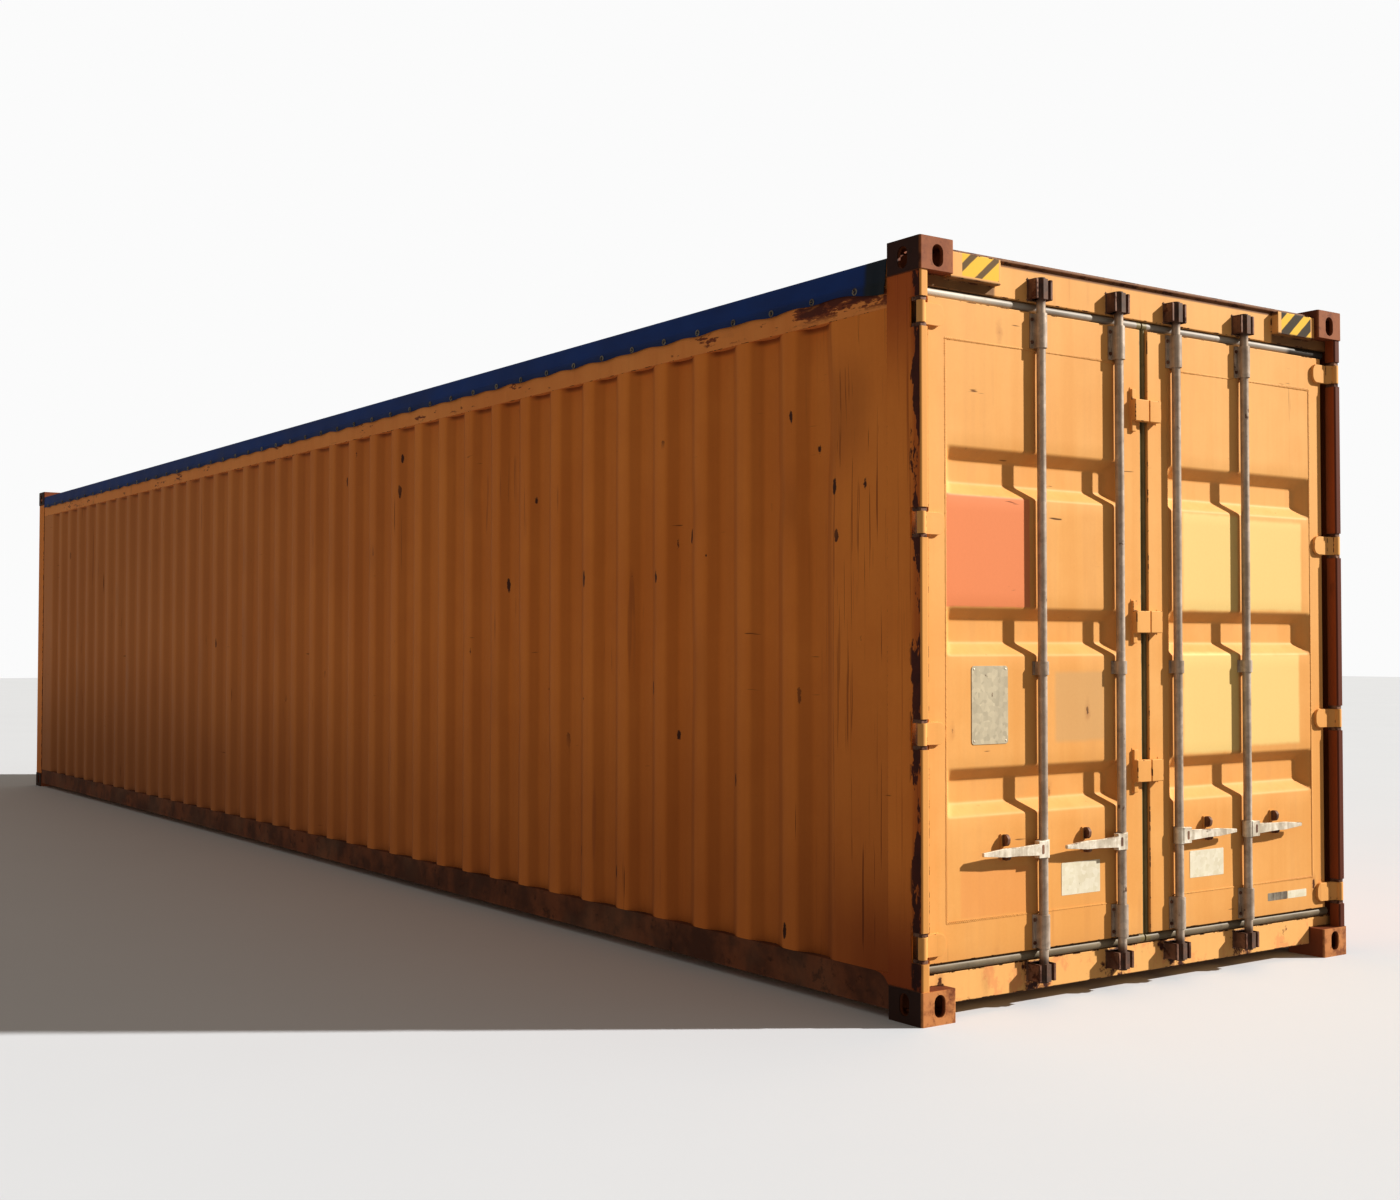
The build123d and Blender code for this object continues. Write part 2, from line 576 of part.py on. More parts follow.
for name, side in SIDES:
    leaf_outer = inboard(side, DOOR_EDGE)
    leaf_inner = side * SEAM
    leaf_middle = (leaf_outer + leaf_inner) / 2
    leaf_width = abs(leaf_outer - leaf_inner)
    panel_outer = inboard(side, DOOR_EDGE + OUTER_STILE)
    panel_inner = side * (SEAM + INNER_STILE)
    panel_middle = ((panel_outer + panel_inner) / 2, (PANEL_LOW + PANEL_HIGH) / 2)
    panel_width = abs(panel_outer - panel_inner)
    panel_height = PANEL_HIGH - PANEL_LOW

    with BuildPart() as door_frame:
        with BuildSketch(Plane.YZ.offset(behind(DOOR_BACK))):
            with Locations((leaf_middle, DOOR_LOW + DOOR_HEIGHT / 2)):
                Rectangle(leaf_width, DOOR_HEIGHT)
            with Locations(panel_middle):
                Rectangle(panel_width, panel_height, mode=Mode.SUBTRACT)
        extrude(amount=DOOR_DEPTH)
    save(door_frame, f"{name}_door_frame")

    with BuildPart() as door_panel:
        with Locations((behind(PANEL_FACE), *panel_middle)):
            Box(SHEET, panel_width, panel_height, align=(Align.MAX, Align.CENTER, Align.CENTER))
        lean = degrees(atan2(GROOVE_SLOPE, GROOVE_DEPTH))
        pressed = ((PANEL_FACE + SHEET, Mode.ADD), (PANEL_FACE, Mode.SUBTRACT))
        for face, mode in pressed:
            for level in (LOW_GROOVE, MIDDLE_GROOVE, HIGH_GROOVE):
                mouth = Plane((behind(face), panel_middle[0], level), x_dir=(0, 1, 0), z_dir=(-1, 0, 0))
                with BuildSketch(mouth):
                    Rectangle(panel_width - 2 * GROOVE_MARGIN, GROOVE_FLAT + 2 * GROOVE_SLOPE)
                extrude(amount=GROOVE_DEPTH, taper=lean, mode=mode)
    save(door_panel, f"{name}_door_panel")

    seal_outer = inboard(side, DOOR_EDGE - GASKET_WIDTH)
    seal_inner = side * SEAM_GAP / 2
    seal_low = DOOR_LOW - GASKET_BELOW
    seal_high = DOOR_TOP + GASKET_WIDTH
    with BuildPart() as gasket:
        with BuildSketch(Plane.YZ.offset(behind(LANDING_SETBACK - SEAL_CLEARANCE))):
            with Locations(((seal_outer + seal_inner) / 2, (seal_low + seal_high) / 2)):
                Rectangle(abs(seal_outer - seal_inner), seal_high - seal_low)
            with Locations((leaf_middle, DOOR_LOW + DOOR_HEIGHT / 2)):
                Rectangle(leaf_width, DOOR_HEIGHT, mode=Mode.SUBTRACT)
        extrude(amount=LANDING_SETBACK - SEAL_CLEARANCE - GASKET_SETBACK)
        front = gasket.faces().sort_by(Axis.X)[-1]
        fillet(front.edges(), GASKET_ROUND)
    save(gasket, f"{name}_door_gasket")

    with BuildPart() as hinges:
        arm_front = DOOR_SETBACK - BLADE_THICKNESS
        for level in HINGE_LEVELS:
            with BuildSketch(Plane.XY.offset(level - HINGE_HEIGHT / 2)):
                with BuildLine():
                    Polyline(
                        (behind(PIN_SETBACK), inboard(side, PIN_INBOARD)),
                        (behind(PIN_SETBACK), inboard(side, PIN_INBOARD + KNUCKLE_RADIUS)),
                        (behind(arm_front), inboard(side, PIN_INBOARD + KNUCKLE_RADIUS + BLADE_RUN)),
                        (behind(arm_front), inboard(side, HINGE_REACH)),
                        (behind(DOOR_SETBACK), inboard(side, HINGE_REACH)),
                        (behind(DOOR_SETBACK), inboard(side, PIN_INBOARD + BLADE_HEEL)),
                        (behind(PIN_SETBACK + KNUCKLE_HEEL), inboard(side, PIN_INBOARD - BLADE_HEEL)),
                        close=True,
                    )
                make_face()
                with Locations((behind(PIN_SETBACK), inboard(side, PIN_INBOARD))):
                    Circle(KNUCKLE_RADIUS)
                    Circle(PIN_RADIUS + PIN_CLEARANCE, mode=Mode.SUBTRACT)
            extrude(amount=HINGE_HEIGHT)
        blade_ends = hinges.edges().filter_by(Axis.X).group_by(lambda edge: round(side * edge.center().Y))[0]
        fillet(blade_ends, HINGE_END_ROUND)
    save(hinges, f"{name}_hinges")

    with BuildPart() as bearings:
        guide_low = MIDDLE_GROOVE - GUIDE_BELOW_GROOVE - GUIDE_HEIGHT / 2
        low_height = DOOR_BOTTOM_MEMBER - 2 * BEARING_MARGIN
        high_height = DOOR_TOP_MEMBER - 2 * BEARING_MARGIN
        places = (
            (DOOR_LOW + BEARING_MARGIN, low_height, DOOR_SETBACK, BEARING_PLATE_WIDTH),
            (guide_low, GUIDE_HEIGHT, PANEL_FACE, GUIDE_PLATE_WIDTH),
            (PANEL_HIGH + BEARING_MARGIN, high_height, DOOR_SETBACK, BEARING_PLATE_WIDTH),
        )
        for low, height, seat, plate_width in places:
            for bar in (side * OUTER_BAR, side * INNER_BAR):
                with BuildSketch(Plane.XY.offset(low)):
                    with Locations((behind(seat), bar)):
                        Rectangle(BEARING_PLATE, plate_width, align=(Align.MIN, Align.CENTER))
                        Rectangle(seat - BAR_SETBACK, 2 * BEARING_RADIUS, align=(Align.MIN, Align.CENTER))
                    with Locations((behind(BAR_SETBACK), bar)):
                        Circle(BEARING_RADIUS)
                        Circle(BAR_RADIUS + BAR_CLEARANCE, mode=Mode.SUBTRACT)
                extrude(amount=height)
    save(bearings, f"{name}_bar_bearings")

    with BuildPart() as catches:
        handle_low = HANDLE_LEVEL - HANDLE_HEIGHT / 2 - CATCH_GAP
        handle_high = HANDLE_LEVEL + HANDLE_HEIGHT / 2 + CATCH_GAP
        for bar in (side * OUTER_BAR, side * INNER_BAR):
            with BuildSketch(Plane.XZ.offset(-(bar + side * CATCH_OFFSET) - CATCH_WIDTH / 2)):
                with BuildLine():
                    Polyline(
                        (behind(PANEL_FACE), handle_low - CATCH_SHELF),
                        (behind(HANDLE_FRONT), handle_low - CATCH_SHELF),
                        (behind(HANDLE_FRONT), handle_low),
                        (behind(PANEL_FACE - CATCH_PLATE), handle_low),
                        (behind(PANEL_FACE - CATCH_PLATE), handle_high),
                        (behind(HANDLE_FRONT + HANDLE_THICKNESS), handle_high),
                        (behind(HANDLE_FRONT + HANDLE_THICKNESS), handle_high + CATCH_NOSE),
                        (behind(PANEL_FACE - CATCH_PLATE), handle_high + CATCH_TAB),
                        (behind(PANEL_FACE), handle_high + CATCH_TAB),
                        close=True,
                    )
                make_face()
            extrude(amount=CATCH_WIDTH)
        tips = catches.edges().filter_by(Axis.Y).group_by(Axis.X)[-1].group_by(Axis.Z)[0]
        fillet(tips, CATCH_ROUND)
    save(catches, f"{name}_handle_catches")

    reach = RACK_LEFT if side < 0 else RACK_RIGHT
    with BuildPart() as rack_blocks:
        for level in RACK_LEVELS:
            with Locations((behind(DOOR_SETBACK), side * (reach + SEAM_GAP / 2) / 2, level)):
                Box(RACK_THICKNESS, reach - SEAM_GAP / 2, RACK_HEIGHT,
                    align=(Align.MIN, Align.CENTER, Align.CENTER))
            if side < 0:
                with Locations((behind(DOOR_SETBACK), side * (reach - RACK_FLANGE_WIDTH / 2), level)):
                    Box(RACK_FLANGE_THICKNESS, RACK_FLANGE_WIDTH, RACK_FLANGE_HEIGHT,
                        align=(Align.MIN, Align.CENTER, Align.CENTER))
    save(rack_blocks, f"{name}_rack_blocks")

# Lock bars with a cam at each end, and their handles

for name, place in BAR_PLACES.items():
    side = -1 if place < 0 else 1
    with BuildPart() as lock_bar:
        with Locations((behind(BAR_SETBACK), place, BAR_LOW)):
            Cylinder(BAR_RADIUS, BAR_HIGH - BAR_LOW, align=(Align.CENTER, Align.CENTER, Align.MIN))
        for low, height in ((UPPER_KEEPER_LOW, UPPER_KEEPER_HEIGHT), (LOWER_KEEPER_LOW, LOWER_KEEPER_HEIGHT)):
            with BuildSketch(Plane.XY.offset(low)):
                with Locations((behind(BAR_SETBACK), place)):
                    Circle(CAM_RADIUS)
                    Rectangle(CAM_LOBE, CAM_LOBE_WIDTH, align=(Align.MIN, Align.CENTER))
            extrude(amount=height)
        with Locations((behind(BAR_SETBACK), place, BAR_LOW)):
            Cylinder(BAR_RADIUS - BAR_WALL, BAR_HIGH - BAR_LOW,
                     align=(Align.CENTER, Align.CENTER, Align.MIN), mode=Mode.SUBTRACT)
    save(lock_bar, f"{name}_lock_bar")

    with BuildPart() as handle:
        with BuildSketch(Plane.XY.offset(HANDLE_LEVEL - HUB_HEIGHT / 2)):
            with Locations((behind(BAR_SETBACK), place)):
                Circle(HUB_RADIUS)
        extrude(amount=HUB_HEIGHT)
        with BuildSketch(Plane.YZ.offset(behind(HANDLE_FRONT + HANDLE_THICKNESS))) as handle_outline:
            with BuildLine():
                Polyline(
                    (place, HANDLE_LEVEL - HANDLE_ROOT / 2),
                    (place + side * HANDLE_NECK, HANDLE_LEVEL - HANDLE_HEIGHT / 2),
                    (place + side * (HANDLE_LENGTH - HANDLE_TAPER), HANDLE_LEVEL - HANDLE_HEIGHT / 2),
                    (place + side * HANDLE_LENGTH, HANDLE_LEVEL - HANDLE_TIP / 2),
                    (place + side * HANDLE_LENGTH, HANDLE_LEVEL + HANDLE_TIP / 2),
                    (place + side * (HANDLE_LENGTH - HANDLE_TAPER), HANDLE_LEVEL + HANDLE_HEIGHT / 2),
                    (place + side * HANDLE_NECK, HANDLE_LEVEL + HANDLE_HEIGHT / 2),
                    (place, HANDLE_LEVEL + HANDLE_ROOT / 2),
                    close=True,
                )
            make_face()
            tip = handle_outline.vertices().group_by(lambda point: round(side * point.Y))[-1]
            fillet(tip, HANDLE_TIP_ROUND)
        extrude(amount=HANDLE_THICKNESS)
        with Locations((behind(BAR_SETBACK), place + side * HUB_PLATE_LENGTH / 2, HANDLE_LEVEL)):
            Box(BAR_SETBACK - HANDLE_FRONT, HUB_PLATE_LENGTH, HUB_PLATE_HEIGHT,
                align=(Align.MIN, Align.CENTER, Align.CENTER))
        with Locations((behind(BAR_SETBACK), place, HANDLE_LEVEL)):
            Cylinder(BAR_RADIUS, HUB_HEIGHT, mode=Mode.SUBTRACT)
    save(handle, f"{name}_handle")

# Roof bows and tarpaulin

BOW_END = HALF_WIDTH - FACE_INSET - TOP_RAIL_WIDTH
BOW_TOP = TOP_RAIL_TOP - BOW_DROP
with BuildPart() as roof_bows:
    spacing = BODY_LENGTH / (BOW_COUNT + 1)
    for i in range(BOW_COUNT):
        with BuildSketch(Plane.YZ.offset(-BODY_LENGTH / 2 + (i + 1) * spacing - BOW_WIDTH / 2)):
            with BuildLine():
                ThreePointArc((-BOW_END, BOW_TOP), (0, BOW_TOP + BOW_RISE), (BOW_END, BOW_TOP))
                Line((BOW_END, BOW_TOP), (BOW_END, BOW_TOP - BOW_HEIGHT))
                ThreePointArc((BOW_END, BOW_TOP - BOW_HEIGHT), (0, BOW_TOP + BOW_RISE - BOW_HEIGHT),
                              (-BOW_END, BOW_TOP - BOW_HEIGHT))
                Line((-BOW_END, BOW_TOP - BOW_HEIGHT), (-BOW_END, BOW_TOP))
            make_face()
        extrude(amount=BOW_WIDTH)
save(roof_bows, "roof_bows")

TARP_INSIDE = HALF_WIDTH - FACE_INSET + TARP_GAP
TARP_OUTSIDE = TARP_INSIDE + TARP_THICKNESS
TARP_EDGE = TOP_RAIL_TOP + TARP_GAP
TARP_CROWN = BOW_TOP + BOW_RISE + TARP_GAP
TARP_FRONT = ahead(FACE_INSET - TARP_GAP)
with BuildPart() as tarpaulin:
    with BuildSketch(Plane.YZ.offset(TARP_FRONT - TARP_THICKNESS)):
        with BuildLine():
            ThreePointArc((-TARP_OUTSIDE, TARP_EDGE + TARP_THICKNESS), (0, TARP_CROWN + TARP_THICKNESS),
                          (TARP_OUTSIDE, TARP_EDGE + TARP_THICKNESS))
            Polyline((TARP_OUTSIDE, TARP_EDGE + TARP_THICKNESS), (TARP_OUTSIDE, TARP_EDGE - TARP_SKIRT),
                     (TARP_INSIDE, TARP_EDGE - TARP_SKIRT), (TARP_INSIDE, TARP_EDGE))
            ThreePointArc((TARP_INSIDE, TARP_EDGE), (0, TARP_CROWN), (-TARP_INSIDE, TARP_EDGE))
            Polyline((-TARP_INSIDE, TARP_EDGE), (-TARP_INSIDE, TARP_EDGE - TARP_SKIRT),
                     (-TARP_OUTSIDE, TARP_EDGE - TARP_SKIRT), (-TARP_OUTSIDE, TARP_EDGE + TARP_THICKNESS))
        make_face()
    extrude(amount=behind(CASTING_LENGTH + TARP_END_GAP) - TARP_FRONT + TARP_THICKNESS)
    with BuildSketch(Plane.YZ.offset(TARP_FRONT - TARP_THICKNESS)):
        with BuildLine():
            ThreePointArc((-TARP_OUTSIDE, TARP_EDGE + TARP_THICKNESS), (0, TARP_CROWN + TARP_THICKNESS),
                          (TARP_OUTSIDE, TARP_EDGE + TARP_THICKNESS))
            Polyline((TARP_OUTSIDE, TARP_EDGE + TARP_THICKNESS), (TARP_OUTSIDE, TARP_EDGE - TARP_SKIRT),
                     (-TARP_OUTSIDE, TARP_EDGE - TARP_SKIRT), (-TARP_OUTSIDE, TARP_EDGE + TARP_THICKNESS))
        make_face()
    extrude(amount=TARP_THICKNESS)
    with Locations((ahead(0), inboard(-1, 0), HEIGHT), (ahead(0), inboard(1, 0), HEIGHT)):
        Box(2 * (CASTING_LENGTH + TARP_END_GAP), 2 * (CASTING_WIDTH + TARP_END_GAP),
            2 * (HEIGHT - TOP_RAIL_LOW), mode=Mode.SUBTRACT)
save(tarpaulin, "tarpaulin")
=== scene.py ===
import math
import random

import bmesh
import bpy
import numpy as np
from mathutils import Matrix, Vector, noise


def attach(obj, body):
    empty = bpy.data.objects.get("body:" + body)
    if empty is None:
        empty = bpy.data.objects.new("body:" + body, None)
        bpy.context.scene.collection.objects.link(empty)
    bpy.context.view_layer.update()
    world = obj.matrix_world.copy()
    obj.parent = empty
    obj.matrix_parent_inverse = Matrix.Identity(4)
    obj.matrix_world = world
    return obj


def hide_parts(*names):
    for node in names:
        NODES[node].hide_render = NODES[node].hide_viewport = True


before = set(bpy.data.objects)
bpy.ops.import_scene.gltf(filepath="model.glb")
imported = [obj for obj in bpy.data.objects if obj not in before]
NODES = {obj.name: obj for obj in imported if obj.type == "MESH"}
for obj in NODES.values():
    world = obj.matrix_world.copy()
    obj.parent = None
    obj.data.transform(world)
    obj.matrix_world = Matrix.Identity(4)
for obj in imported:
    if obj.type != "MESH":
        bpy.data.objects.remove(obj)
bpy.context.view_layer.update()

# An open-top shipping container, in metres. X runs along it with the doors at +X, and -Y is the side in the
# photograph. These sizes repeat the CAD source. Faces are set back from those of the corner castings, levels
# count from the ground and places across from the middle.
HALF_LENGTH = 6.096
HALF_WIDTH = 1.219
HEIGHT = 2.743
CASTING_LENGTH = 0.178
CASTING_WIDTH = 0.162
CASTING_HEIGHT = 0.118
WALL_END = HALF_LENGTH - CASTING_LENGTH
BODY_SIDE = HALF_WIDTH - CASTING_WIDTH
BOW_BAYS = 20
BOW_SPACING = 2 * WALL_END / BOW_BAYS
FACE_INSET = 0.008
SHEET = 0.002
BASE_TOP = 0.158
FLOOR_TOP = 0.186
RAIL_LOW = 2.514
RAIL_TOP = 2.690
DOOR_FACE = 0.050
PANEL_FACE = 0.0508
PANEL_INNER = 0.135
PANEL_OUTER = 1.055
PANEL_LOW = 0.335
PANEL_HIGH = 2.405
GROOVES = (0.790, 1.364, 1.938)
GROOVE_HALF = 0.086
GROOVE_SLOPE = 0.044
GROOVE_DEPTH = 0.045
GROOVE_MARGIN = 0.004
HINGE_LEVELS = (0.2675, 1.0045, 1.7415, 2.4785)
HINGE_HALF = 0.039
HINGE_REACH = 0.148
RACK_LEVELS = (0.830, 1.405, 2.226)
RACK_EDGE = {"left": 0.081, "right": 0.069}
RACK_HALF = {"left": 0.0825, "right": 0.0425}
OUTER_BAR = 0.593
INNER_BAR = 0.167
BARS = {"left_outer": -OUTER_BAR, "left_inner": -INNER_BAR,
        "right_inner": INNER_BAR, "right_outer": OUTER_BAR}
BEARING_LEVELS = (0.2675, 2.4755)
BEARING_FACE = 0.044
HANDLE_LEVEL = 0.570
CATCH_OFFSET = 0.185
CATCH_TAB = 0.046
CATCH_NOSE = 0.014
LEAVES = {"left": -1, "right": 1}


def behind(setback):
    """A place along the container, set back from the door end."""
    return HALF_LENGTH - setback


def beside(inset):
    """A place across the container, set back from its side."""
    return HALF_WIDTH - inset


# Finishes. One class carries the shader sums.

class Tap:
    """A socket in a finish's node tree. Sums written on it become Math nodes."""

    def __init__(self, tree, socket):
        self.tree = tree
        self.socket = socket

    def node(self, kind, settings=None, sockets=None, out=0):
        """Adds a node: its settings first, then the values or links of its sockets, by name or place."""
        made = self.tree.nodes.new("ShaderNode" + kind)
        for key, value in (settings or {}).items():
            if key == "stops":
                ramp = made.color_ramp.elements
                for i, (place, colour) in enumerate(value):
                    stop = ramp[i] if i < len(ramp) else ramp.new(place)
                    stop.position = place
                    stop.color = colour
            else:
                setattr(made, key, value)
        for key, value in (sockets or {}).items():
            if isinstance(value, Tap):
                self.tree.links.new(value.socket, made.inputs[key])
            else:
                made.inputs[key].default_value = value
        return Tap(self.tree, made.outputs[out]) if made.outputs else None

    def sum(self, operation, first, second=0.0):
        return self.node("Math", {"operation": operation}, {0: first, 1: second})

    def __add__(self, other):
        return self.sum("ADD", self, other)

    __radd__ = __add__

    def __sub__(self, other):
        return self.sum("SUBTRACT", self, other)

    def __rsub__(self, other):
        return self.sum("SUBTRACT", other, self)

    def __mul__(self, other):
        return self.sum("MULTIPLY", self, other)

    __rmul__ = __mul__

    def __truediv__(self, other):
        return self.sum("DIVIDE", self, other)

    def __rtruediv__(self, other):
        return self.sum("DIVIDE", other, self)

    def most(self, other):
        return self.sum("MAXIMUM", self, other)

    def least(self, other):
        return self.sum("MINIMUM", self, other)

    def size(self):
        return self.sum("ABSOLUTE", self)

    def rise(self, low, high):
        """0 below low, 1 above high and smooth between, or the other way round where low is above high."""
        return self.node("MapRange", {"interpolation_type": "SMOOTHSTEP"},
                         {"Value": self, "From Min": low, "From Max": high, "To Min": 0.0, "To Max": 1.0})

    def within(self, low, high, soft):
        return self.rise(low - soft, low + soft) * self.rise(high + soft, high - soft)

    def shifted(self, stretch=(1, 1, 1), shift=(0, 0, 0)):
        return self.node("Mapping", None, {"Vector": self, "Location": shift, "Scale": stretch})

    def noise(self, scale, detail=3.0, rough=0.55, stretch=(1, 1, 1), shift=(0, 0, 0)):
        return self.node("TexNoise", None, {"Vector": self.shifted(stretch, shift), "Scale": scale,
                                            "Detail": detail, "Roughness": rough})

    def cells(self, scale, stretch=(1, 1, 1), shift=(0, 0, 0), out=0, **settings):
        place = self.shifted(stretch, shift)
        return self.node("TexVoronoi", settings, {"Vector": place, "Scale": scale}, out)

    def axis(self, place):
        return self.node("SeparateXYZ", None, {0: self}, place)

    def blend(self, first, second):
        """A colour between first and second, by this value."""
        return self.node("Mix", {"data_type": "RGBA"}, {0: self, 6: first, 7: second}, 2)

    def tint(self, first, second):
        """first multiplied by second, by this value."""
        return self.node("Mix", {"data_type": "RGBA", "blend_type": "MULTIPLY"},
                         {0: self, 6: first, 7: second}, 2)


def rgb(red, green, blue):
    return (red, green, blue, 1.0)


def start_finish(name):
    """A new material, and a tap on its Object coordinates."""
    material = bpy.data.materials.new(name)
    material.use_nodes = True
    tree = material.node_tree
    tree.nodes.clear()
    where = tree.nodes.new("ShaderNodeTexCoord")
    return material, Tap(tree, where.outputs["Object"])


def end_finish(at, colour, roughness, metallic=0.0, height=None, strength=0.2, distance=0.002, **constants):
    """The shader of a finish. Constants go straight on its sockets."""
    sockets = {"Base Color": colour, "Roughness": roughness, "Metallic": metallic}
    if height is not None:
        bump = {"Strength": strength, "Distance": distance, "Height": height}
        sockets["Normal"] = at.node("Bump", None, bump)
    sockets.update({key.replace("_", " "): value for key, value in constants.items()})
    shader = at.node("BsdfPrincipled", None, sockets)
    at.node("OutputMaterial", None, {"Surface": shader})


def rust_colour(at):
    """Brown scale that goes from near black to red-brown."""
    grain = at.noise(38, 5, 0.65)
    return at.node("ValToRGB", {"stops": [(0.25, rgb(0.018, 0.007, 0.005)), (0.5, rgb(0.066, 0.020, 0.009)),
                                          (0.75, rgb(0.17, 0.052, 0.018))]}, {0: grain})


def paint_finish(name, fresh, faded, worn=0.5, grime_top=0.55, grime=0.8, patches=None, spots=1.0):
    """Weathered orange paint: fading, runs, rust marks, scratches, chipped edges and grime low down."""
    material, at = start_finish(name)
    height_up = at.axis(2)
    cloud = at.noise(0.8, 3)
    mottle = at.noise(7, 5, 0.6)
    runs = at.noise(1.0, 4, 0.6, stretch=(13, 13, 0.45))
    colour = (cloud * 0.5 + runs * 0.3 + mottle * 0.2).rise(0.36, 0.66).blend(fresh, faded)
    colour = (runs.rise(0.5, 0.72) * 0.25).tint(colour, rgb(0.74, 0.62, 0.52))
    if patches:
        colour = patches(at, colour)
    low_grime = height_up.rise(grime_top, 0.1) * (0.55 + 0.45 * at.noise(2.2, 4, 0.6, stretch=(3, 3, 0.6)))
    colour = (low_grime * grime).tint(colour, rgb(0.50, 0.43, 0.42))
    colour = (at.noise(90, 2) * 0.2).tint(colour, rgb(0.76, 0.70, 0.64))
    rust = rust_colour(at)
    ragged = at.noise(26, 4, 0.7)
    mark = at.cells(2.3, stretch=(2.8, 2.8, 1.1), shift=(3.1, 1.7, 0.4)) + ragged * 0.17
    here = at.noise(1.7, 2).rise(0.52, 0.6) * spots
    marks = mark.rise(0.12 + 0.09 * worn, 0.10 + 0.08 * worn) * here
    halo = mark.rise(0.20 + 0.18 * worn, 0.12) * here
    drips = (at.noise(1.0, 2, 0.5, stretch=(30, 30, 1.1)).rise(0.63, 0.72)
             * at.noise(2.1, 2, shift=(5, 2, 1)).rise(0.52, 0.66)) * worn
    scrape = (at.noise(1.0, 2, 0.5, stretch=(5, 5, 52), shift=(0, 0, 4)).rise(0.735 - 0.03 * worn, 0.78)
              * at.noise(1.9, 2, shift=(9, 4, 2)).rise(0.52, 0.62))
    scratch = (at.noise(1.0, 2, 0.5, stretch=(46, 46, 1.9), shift=(2, 7, 1)).rise(0.735 - 0.03 * worn, 0.78)
               * at.noise(1.5, 2, shift=(1, 8, 3)).rise(0.52, 0.62))
    edge = at.node("Attribute", {"attribute_name": "wear"}, None, 2)
    chipped = edge * at.noise(19, 4, 0.7, shift=(7, 7, 7)).rise(0.58 - 0.12 * worn, 0.64 - 0.08 * worn)
    stain = (drips * 0.45).most(halo * 0.3)
    colour = stain.blend(colour, rgb(0.26, 0.075, 0.028))
    bare = marks.most(scrape * 0.85).most(scratch * 0.85).most(chipped)
    colour = bare.blend(colour, rust)
    roughness = 0.52 + 0.16 * mottle + 0.24 * bare + 0.1 * low_grime
    height = at.noise(160, 2) * 0.25 + mottle * 0.5 - bare * 0.7
    end_finish(at, colour, roughness, height=height, strength=0.22, distance=0.0012, Specular_IOR_Level=0.22)
    return material


def plain_metal(name, pale, dark, metallic, rusty, roughness=0.42, patches=None):
    """Galvanised or forged steel, dull and blotched, with rust where it is knocked."""
    material, at = start_finish(name)
    spangle = at.cells(55, feature="F1", out=1).axis(0)
    blotch = at.noise(9, 5, 0.65)
    streak = at.noise(1.0, 4, 0.6, stretch=(40, 40, 1.6))
    colour = (blotch * 0.55 + streak * 0.45).rise(0.36, 0.64).blend(dark, pale)
    colour = at.node("Mix", {"data_type": "RGBA", "blend_type": "OVERLAY"},
                     {0: 0.12, 6: colour, 7: spangle}, 2)
    edge = at.node("Attribute", {"attribute_name": "wear"}, None, 2)
    rust = (at.noise(14, 5, 0.7, shift=(2, 6, 1)) + edge * 0.12).rise(0.66 - rusty * 0.3, 0.74 - rusty * 0.26)
    if patches:
        rust = rust.most(patches(at))
    colour = rust.blend(colour, rust_colour(at))
    height = blotch * 0.6 + at.noise(120, 3) * 0.4 - rust * 0.5
    end_finish(at, colour, roughness + 0.2 * blotch + 0.3 * rust, (1 - rust) * metallic, height, 0.25, 0.0012)
    return material


def rubber_finish(name):
    """Weathered door seal: a painted highlight pales it towards the left end, browner below, dark olive at
    the seam, and painted shade turns the upper seal near black by the ends.
    """
    material, at = start_finish(name)
    bloom = at.noise(5, 4, 0.6)
    shade = bloom.rise(0.3, 0.7)
    level = at.axis(2)
    colour = shade.blend(rgb(0.25, 0.225, 0.205), rgb(0.40, 0.365, 0.335))
    # Painted highlight: the seal pales towards the left end.
    colour = (at.axis(1).rise(-0.6, -1.0) * 0.8).blend(colour, rgb(0.66, 0.62, 0.56))
    colour = level.rise(1.2, 0.4).blend(colour, shade.blend(rgb(0.15, 0.12, 0.082), rgb(0.25, 0.205, 0.145)))
    seam = at.axis(1).size().rise(0.032, 0.026)
    colour = seam.blend(colour, shade.blend(rgb(0.15, 0.120, 0.055), rgb(0.24, 0.195, 0.095)))
    across = at.axis(1)
    # Painted shade: near black at the upper ends of the seal, under the header's end blocks and the castings.
    shaded_ends = level.rise(2.0, 2.4) * (across + bloom * 0.03).rise(0.92, 0.96).most(across.rise(-1.125, -1.145))
    colour = (shaded_ends * 0.95).blend(colour, rgb(0.020, 0.012, 0.008))
    colour = (at.noise(30, 4).rise(0.55, 0.75) * 0.4).tint(colour, rgb(0.45, 0.40, 0.34))
    end_finish(at, colour, 0.42 + 0.2 * bloom, height=at.noise(90, 3), strength=0.12, distance=0.001,
               Specular_IOR_Level=0.3)
    return material


def plywood_finish(name):
    """Worn floor boards with dark seams across the container."""
    material, at = start_finish(name)
    grain = at.noise(3.0, 6, 0.65, stretch=(0.7, 16, 16))
    across = at.axis(0)
    board = at.node("Math", {"operation": "FRACT"}, {0: across / 1.16})
    seam = (board - 0.5).size().rise(0.494, 0.498)
    colour = grain.rise(0.3, 0.7).blend(rgb(0.20, 0.115, 0.055), rgb(0.36, 0.235, 0.125))
    colour = (at.noise(1.4, 4, 0.6).rise(0.45, 0.75) * 0.8).tint(colour, rgb(0.36, 0.3, 0.25))
    colour = seam.blend(colour, rgb(0.02, 0.014, 0.01))
    end_finish(at, colour, 0.6 + 0.2 * grain, height=grain * 0.7 - seam, strength=0.3, distance=0.0015)
    return material


